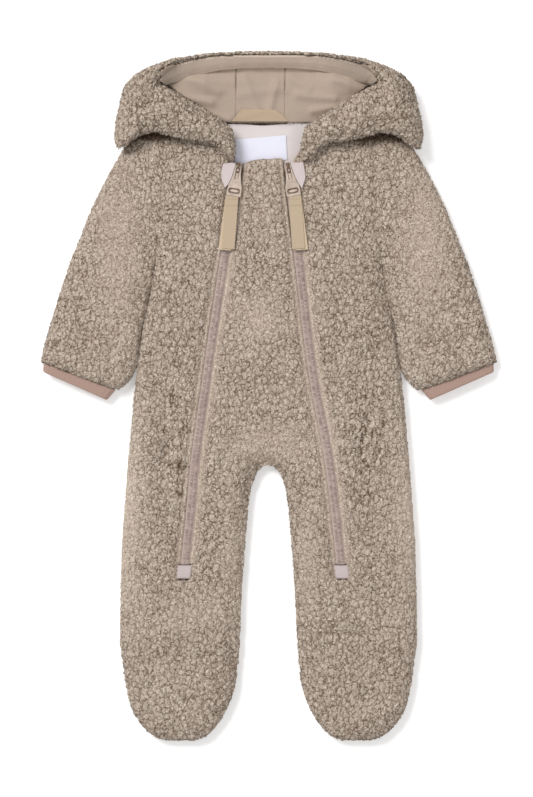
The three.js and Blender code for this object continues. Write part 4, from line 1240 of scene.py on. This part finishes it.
def bead(bm, place, turn, size):
    """Adds one small long bead. size holds its three half lengths in millimetres."""
    bmesh.ops.create_icosphere(
        bm, subdivisions=1, radius=1.0,
        matrix=Matrix.Translation(Vector(place) * MM) @ turn @ sized(*size))


def zip_coil(side):
    """Two rows of beads, half a turn apart, each with its own shade."""
    size = (COIL["long"] / 2, COIL["pitch"] * COIL["wide"] / 2, COIL["thick"] / 2)
    coil = new_mesh(f"zip_{side}_coil")
    with edited(coil.data) as bm:
        for row in (-1, 1):
            start = COIL["end"] + (row > 0) * COIL["pitch"] / 2
            for y in np.arange(start, COIL["top"], COIL["pitch"]):
                wobble = random.uniform(-COIL["wobble"], COIL["wobble"])
                bead(bm, (zip_x(side, y) + row * COIL["off"], y, tape_level(y) + COIL["above"]),
                     Matrix.Rotation(row * COIL["lean"] + wobble, 4, "Z"), size)
    turns = len(coil.data.vertices) // TURN_POINTS
    speckle = [random.uniform(-COIL["speckle"], COIL["speckle"]) for _ in range(turns)]
    set_attribute(coil, "tone", np.repeat(speckle, TURN_POINTS))
    return dress(coil, "zip_tape")


sewn = {}
for side in SIDES:
    node = f"zip_{side}"
    panels[node] = finish_piece(zip_tape(side), "zip_tape", node)
    coil = finish_piece(zip_coil(side), "zip_tape")
    sewn[panels[node].name] = [coil]
    print(node, len(coil.data.polygons), "coil faces")

# %% [markdown]
# Hard edges never show on moulded or die-cast parts, or on folded tape. The sliders,
# pullers, zip ends and straps keep their solids and get their edges rounded.

# %% Rounded pieces
EDGE = {"slider": 0.4, "puller": 0.3, "strap": 0.25, "tab": 0.6}


def rounded(obj, radius, segments=2, sharp=35):
    """Rounds the edges that turn by more than sharp degrees."""
    with edited(obj.data) as bm:
        bmesh.ops.dissolve_limit(bm, angle_limit=0.01, verts=bm.verts, edges=bm.edges)
        edges = [e for e in bm.edges
                 if len(e.link_faces) == 2 and e.calc_face_angle(0) > math.radians(sharp)]
        bmesh.ops.bevel(
            bm, geom=edges, offset=radius * MM, offset_type="OFFSET", segments=segments,
            profile=0.5, affect="EDGES", clamp_overlap=True, material=-1)
        bmesh.ops.triangulate(bm, faces=[f for f in bm.faces if len(f.verts) > 4])
    return obj


def moulded_material(name, colour, roughness, grain):
    """A moulded or painted finish: nearly even, with a faint cloud and fine grain."""
    material, tree, shader = new_material(name, {})
    place = object_place(tree)
    cloud = add(tree, "ShaderNodeTexNoise", {
        "Vector": place, "Scale": 180.0, "Detail": 3.0}).outputs["Fac"]
    low, high = shades(colour, 0.82, 1.16)
    tree.links.new(ramp(tree, cloud, ((0.3, low), (0.7, high))), shader.inputs["Base Color"])
    fine = add(tree, "ShaderNodeTexNoise", {
        "Vector": place, "Scale": 2200.0, "Detail": 2.0}).outputs["Fac"]
    bump = add(tree, "ShaderNodeBump", {"Height": fine, "Strength": grain, "Distance": 0.0001})
    tree.links.new(bump.outputs["Normal"], shader.inputs["Normal"])
    uneven = smooth_step(tree, cloud, 0.3, 0.7, roughness - 0.06, roughness + 0.06)
    tree.links.new(uneven, shader.inputs["Roughness"])
    return material


HARD = {
    "bail": moulded_material("bail in painted shade", (104, 80, 66), 0.4, 0.2),
    "puller": moulded_material("moulded puller", (191, 173, 159), 0.5, 0.3),
    "slider": moulded_material("painted slider", (174, 156, 142), 0.36, 0.2),
    "web": moulded_material("sunk web in painted shade", (132, 112, 98), 0.6, 0.3),
}
print("hard finishes", ", ".join(HARD))

# %% [markdown]
# A puller hangs from its slider's bail and is moulded round the tongue of the strap. A
# thin sunk web closes its eye, its colour painted darker for the shade in the eye; a thin
# plate closes the lower end of its slot, and a small pill stands on its face. All three
# are placed by how far down the puller they lie from its hinge, because the two pullers
# slant differently.

# %% Puller details
PULLS = {
    # hinge x and y, and the direction down the puller
    "left": (-30.156, 228.0, -0.1668, -0.986),
    "right": (19.578, 228.0, 0.1977, -0.9803),
}


def down_puller(side, points):
    """How far each point is down the puller from its hinge."""
    x, y, ahead_x, ahead_y = PULLS[side]
    return (points[:, 0] - x) * ahead_x + (points[:, 1] - y) * ahead_y


def on_puller(side, down, level):
    """The place and turn of something so far down the puller, at a height."""
    x, y, ahead_x, ahead_y = PULLS[side]
    place = Vector((x + down * ahead_x, y + down * ahead_y, level)) * MM
    turn = Matrix.Rotation(math.atan2(ahead_y, ahead_x) + math.pi / 2, 4, "Z")
    return Matrix.Translation(place) @ turn


PILL = {"down": 15.2, "level": 20.45, "size": (1.7, 1.0, 0.6)}
EYE_DOWN = 24.6
EYE_WEB = (
    # half width, half height, middle height, thickness, material (1 is the web's colour painted
    # darker for the shade in the eye)
    (6.2, 3.0, 18.75, 0.3, 1), (4.2, 1.3, 19.25, 0.9, 0),
)
SLOT_PLATE = {"from": 6.4, "to": 13.4, "half": 1.5, "level": 19.0, "thick": 0.4}


def detailed(obj, side):
    """Adds the pill, the eye's sunk web with its oval island, and the slot's plate."""
    slot = SLOT_PLATE["from"], SLOT_PLATE["to"]
    with edited(obj.data) as bm:
        bmesh.ops.create_icosphere(
            bm, subdivisions=2, radius=1.0,
            matrix=on_puller(side, PILL["down"], PILL["level"]) @ sized(*PILL["size"]))
        for wide, tall, level, thick, paint in EYE_WEB:
            disc = bmesh.ops.create_cone(
                bm, cap_ends=True, cap_tris=False, segments=24, radius1=1.0, radius2=1.0,
                depth=1.0, matrix=on_puller(side, EYE_DOWN, level) @ sized(wide, tall, thick))
            for face in {face for vert in disc["verts"] for face in vert.link_faces}:
                face.material_index = paint
        bmesh.ops.create_cube(
            bm, size=1.0, matrix=on_puller(side, sum(slot) / 2, SLOT_PLATE["level"]) @ sized(
                2 * SLOT_PLATE["half"], slot[1] - slot[0], SLOT_PLATE["thick"]))
    return obj


print("puller details:", 2 + len(EYE_WEB), "on each")

# %% [markdown]
# The strap is one length of webbing doubled over. Its lower layer has slipped a little
# outwards and down, so an edge of it shows beside the upper one. Both layers start at
# the tongue, which the puller holds.

# %% Strap layers
LAYERS = {"under": 18.8, "split": 19.68, "over": 20.6, "gap": 0.1, "tongue": 30.4,
          "out": 3.2, "out_from": 32, "out_over": 45, "short": 1.2, "short_from": 45,
          "short_over": 10, "tone": 0.5}
LOWER_TONGUE = {"down": 2.2, "from": 18.9, "to": 19.6}


def strap_layers(side):
    """The strap's two layers, the lower one swung a little outwards."""
    strap = new_mesh(f"strap_{side}_webbing")
    with edited(strap.data) as bm:
        for lower in (True, False):
            layer = copy_of(f"strap_{side}", "layer")
            points = points_of(layer)
            down = down_puller(side, points)
            body = down > LAYERS["tongue"]
            low, high = ((LAYERS["under"], LAYERS["split"]) if lower
                         else (LAYERS["split"] + LAYERS["gap"], LAYERS["over"]))
            share = (points[:, 2] - LAYERS["under"]) / (LAYERS["over"] - LAYERS["under"])
            points[body, 2] = (low + share * (high - low))[body]
            if lower:
                out = np.clip((down - LAYERS["out_from"]) / LAYERS["out_over"], 0, 1)
                short = np.clip((down - LAYERS["short_from"]) / LAYERS["short_over"], 0, 1)
                points[:, 0] += LAYERS["out"] * out * SIDES[side]
                points[:, 1] -= LAYERS["short"] * short
                points[~body, :2] += np.array(PULLS[side][2:]) * LOWER_TONGUE["down"]
                points[~body, 2] = np.clip(
                    points[~body, 2], LOWER_TONGUE["from"], LOWER_TONGUE["to"])
            set_points(layer, points)
            set_attribute(layer, "tone", np.full(len(points), LAYERS["tone"] if lower else 0.0))
            rounded(layer, EDGE["strap"])
            bm.from_mesh(layer.data)
            bpy.data.objects.remove(layer)
    return strap


TURNS = {
    # side: how the threads of strap and tab are turned, in degrees
    "left": (-7, -6), "right": (6, 6),
}
print("strap layers split at", LAYERS["split"], "mm")

# %% [markdown]
# The slider is painted, and its bail near the hinge is painted dark brown for the
# shade that falls on it there. The pale tab is a piece of tape folded over the zip's lower
# end, and its colour is painted darker for the shade of the pile round it.

# %% Sliders, pullers, straps and tabs
BAIL = {"above": 17.55, "bare": 3.2}
# Painted shade: the tab is darkened for the shade of the pile round it.
TAB_PAINTED_SHADE = -0.45
for side, (strap_turn, tab_turn) in TURNS.items():
    body = f"pull_{side}"
    slider = rounded(copy_of(f"slider_{side}", f"slider_{side}_painted"), EDGE["slider"])
    slider.data.materials.append(HARD["slider"])
    slider.data.materials.append(HARD["bail"])
    # The bail near the hinge gets the dark material, a painted shade.
    for face in slider.data.polygons:
        down = down_puller(side, np.array([face.center]) / MM)[0]
        face.material_index = int(face.center.z > BAIL["above"] * MM and down < BAIL["bare"])
    slider.data.shade_smooth()
    finish_piece(slider, "slider", f"slider_{side}")
    puller = rounded(copy_of(f"puller_{side}", f"puller_{side}_moulded"), EDGE["puller"])
    detailed(puller, side)
    puller.data.materials.append(HARD["puller"])
    puller.data.materials.append(HARD["web"])
    finish_piece(puller, "puller", f"puller_{side}", body=body)
    strap = dress(strap_layers(side), "webbing", strap_turn, smooth=False)
    panels[f"strap_{side}"] = finish_piece(strap, "webbing", f"strap_{side}", body=body)
    tab = rounded(copy_of(f"zip_end_{side}", f"zip_end_{side}_tape"), EDGE["tab"], 3)
    set_attribute(tab, "tone", np.full(len(tab.data.vertices), TAB_PAINTED_SHADE))
    dress(tab, "pale_trim", tab_turn)
    panels[f"zip_end_{side}"] = finish_piece(tab, "pale_trim", f"zip_end_{side}")
    print(side, "puller", len(puller.data.polygons), "strap", len(strap.data.polygons))

# %% [markdown]
# Topstitching holds the facing's hem, the label, the loop, the guards, the zip ends and
# the doubled straps. Each stitch is one small long bead with 20 faces, set on the cloth
# where a ray from above finds it.

# %% Stitches
def thread_material(name, colour):
    material, tree, shader = new_material(name, {"Roughness": 0.7})
    twist = add(tree, "ShaderNodeTexNoise", {
        "Vector": object_place(tree), "Scale": 1500.0}).outputs["Fac"]
    low, high = shades(colour, 0.8, 1.1)
    tree.links.new(ramp(tree, twist, ((0.3, low), (0.7, high))), shader.inputs["Base Color"])
    return material


THREADS = {
    "facing": thread_material("facing thread", (160, 138, 120)),
    "webbing": thread_material("strap thread", (138, 116, 92)),
    "pale_trim": thread_material("pale thread", (200, 184, 182)),
    "label": thread_material("label thread", (214, 212, 220)),
    "loop": thread_material("loop thread", (172, 144, 112)),
}
STITCH = {"share": 0.76, "thick": 0.4, "raised": 0.05, "faces": 20}


def stitches(name, on, slot, pitch, lines, body="garment"):
    """Rows of stitches on a piece. Each spot of a line that misses the piece is left out."""
    tree = shape_tree(on.data)
    size = (pitch * STITCH["share"] / 2, STITCH["thick"] / 2, STITCH["thick"] / 2)
    rows = new_mesh(name)
    with edited(rows.data) as bm:
        for line in lines:
            for (x, y), (ahead_x, ahead_y) in zip(*walked(line, pitch)):
                z = height_at(tree, x, y)
                if z is not None:
                    turn = Matrix.Rotation(math.atan2(ahead_y, ahead_x), 4, "Z")
                    bead(bm, (x, y, z + STITCH["raised"]), turn, size)
    rows.data.materials.append(THREADS[slot])
    sewn.setdefault(on.name, []).append(finish_piece(rows, slot, body=body))
    print(name, len(rows.data.polygons) // STITCH["faces"], "stitches")


def edge_line(on, off, x_from, x_to, step=3.0, search=20, fine=0.4):
    """A line just inside the piece's lower edge, as seen from above."""
    tree = shape_tree(on.data)
    low = min(corner[1] for corner in on.bound_box) / MM
    line = []
    for x in np.arange(x_from, x_to, step):
        found = [y for y in np.arange(low, low + search, fine)
                 if height_at(tree, x, y) is not None]
        if found:
            line.append((x, found[0] + off))
    return line


def across(x, y, half):
    """A short line across the garment, with its middle at x."""
    return [(x - half, y), (x + half, y)]


print("threads", ", ".join(THREADS))

# %% [markdown]
# The rows are placed by a few named measures. Those of the facing and the straps are
# worked out from the pieces, since they follow a curved hem and a slanted strap.

# %% Rows of stitches
FACING_HEM = {"off": 2.2, "from": -100, "to": 100, "pitch": 2.4}
STRAP_ROWS = {"down": (33.0, 39.5), "half": 5.0, "inwards": 0.4, "pitch": 1.5}
TAB_ROWS = {"zip_at": -177, "half": 5.4, "at": (-171.9, -182.2), "pitch": 1.7}
GUARD_ROW = {"left": -45.7, "right": 34.2, "top": 229.5, "end": 216, "pitch": 1.9}


def strap_rows(side):
    x, y, ahead_x, ahead_y = PULLS[side]
    middle = x - STRAP_ROWS["inwards"] * SIDES[side]
    return [across(middle + down * ahead_x, y + down * ahead_y, STRAP_ROWS["half"])
            for down in STRAP_ROWS["down"]]


facing = panels["hood_facing"]
hem = edge_line(facing, FACING_HEM["off"], FACING_HEM["from"], FACING_HEM["to"])
stitches("facing_stitches", facing, "facing", FACING_HEM["pitch"], [hem])
for side in SIDES:
    tab_x, guard_x = zip_x(side, TAB_ROWS["zip_at"]), GUARD_ROW[side]
    stitches(f"strap_{side}_stitches", panels[f"strap_{side}"], "webbing",
             STRAP_ROWS["pitch"], strap_rows(side), body=f"pull_{side}")
    stitches(f"zip_end_{side}_stitches", panels[f"zip_end_{side}"], "pale_trim",
             TAB_ROWS["pitch"], [across(tab_x, y, TAB_ROWS["half"]) for y in TAB_ROWS["at"]])
    stitches(f"zip_guard_{side}_stitches", panels[f"zip_guard_{side}"], "pale_trim",
             GUARD_ROW["pitch"], [[(guard_x, GUARD_ROW["top"]), (guard_x, GUARD_ROW["end"])]])
for name, node, pitch, lines in (
        # name, piece, stitch length, a row near each end
        ("label_stitches", "label", 2.0,
         [[(-32.2, 254.5), (-32.6, 233)], [(16.6, 258.5), (17.2, 238)]]),
        ("loop_stitches", "hanger_loop", 1.5,
         [[(-33.5, 276), (-30.5, 284)], [(14.0, 284), (17.0, 276)]])):
    stitches(name, panels[node], name.split("_")[0], pitch, lines)

# %% [markdown]
# Every piece of cloth is listed with the size it was cut to. A pattern piece of a
# garment is hardly ever a rectangle, so the table gives its flat area as well, and half
# of each piece's surface is printed beside it.

# %% Cut sizes
CUTS = (
    # node (* for left and right), width and length in mm, area in square cm, held,
    # what it rests on
    ("back", 300, 516, 1290, "laid", "sole_left", "sole_right"),
    ("front_center", 178, 514, 500, "laid", "back"),
    ("front_side_left", 116, 550, 380, "laid", "back"),
    ("front_side_right", 126, 550, 442, "laid", "back"),
    ("vamp_*", 115, 85, 82, "laid", "sole_*"),
    ("sole_*", 120, 103, 111, "laid"),
    ("sleeve_*", 220, 270, 450, "laid"),
    ("hood_left", 155, 145, 185, "laid"),
    ("hood_center", 54, 126, 64, "laid"),
    ("hood_right", 168, 148, 205, "laid"),
    ("hood_lining_left", 80, 62, 36, "laid", "hood_left"),
    ("hood_lining_center", 54, 68, 33, "laid", "hood_center"),
    ("hood_lining_right", 96, 64, 46, "laid", "hood_right"),
    ("hood_facing", 240, 34, 41, "laid", "hood_left", "hood_center", "hood_right"),
    ("neck_facing", 95, 56, 45, "laid", "back"),
    ("label", 53, 30, 13.4, "laid", "neck_facing"),
    ("hanger_loop", 58, 13, 6.6, "laid", "hood_lining_center"),
    ("cuff_binding_*", 164, 13, 19, "stretched", "sleeve_*"),
    ("zip_*", 10, 402, 37, "laid", "back"),
    ("zip_guard_*", 15, 26, 2.8, "laid", "front_side_*"),
    ("zip_end_*", 15, 27, 3.5, "folded", "front_side_*"),
    ("strap_*", 14, 112, 14.5, "folded", "front_side_*"),
)
for name, wide, long, area, held, *rests_on in CUTS:
    for side in SIDES if "*" in name else ("",):
        piece = panels[name.replace("*", side)]
        surface = sum(face.area for face in piece.data.polygons) * 1e4
        print(f"{piece.name}: half its surface {surface / 2:.1f}, cut {area} square cm")
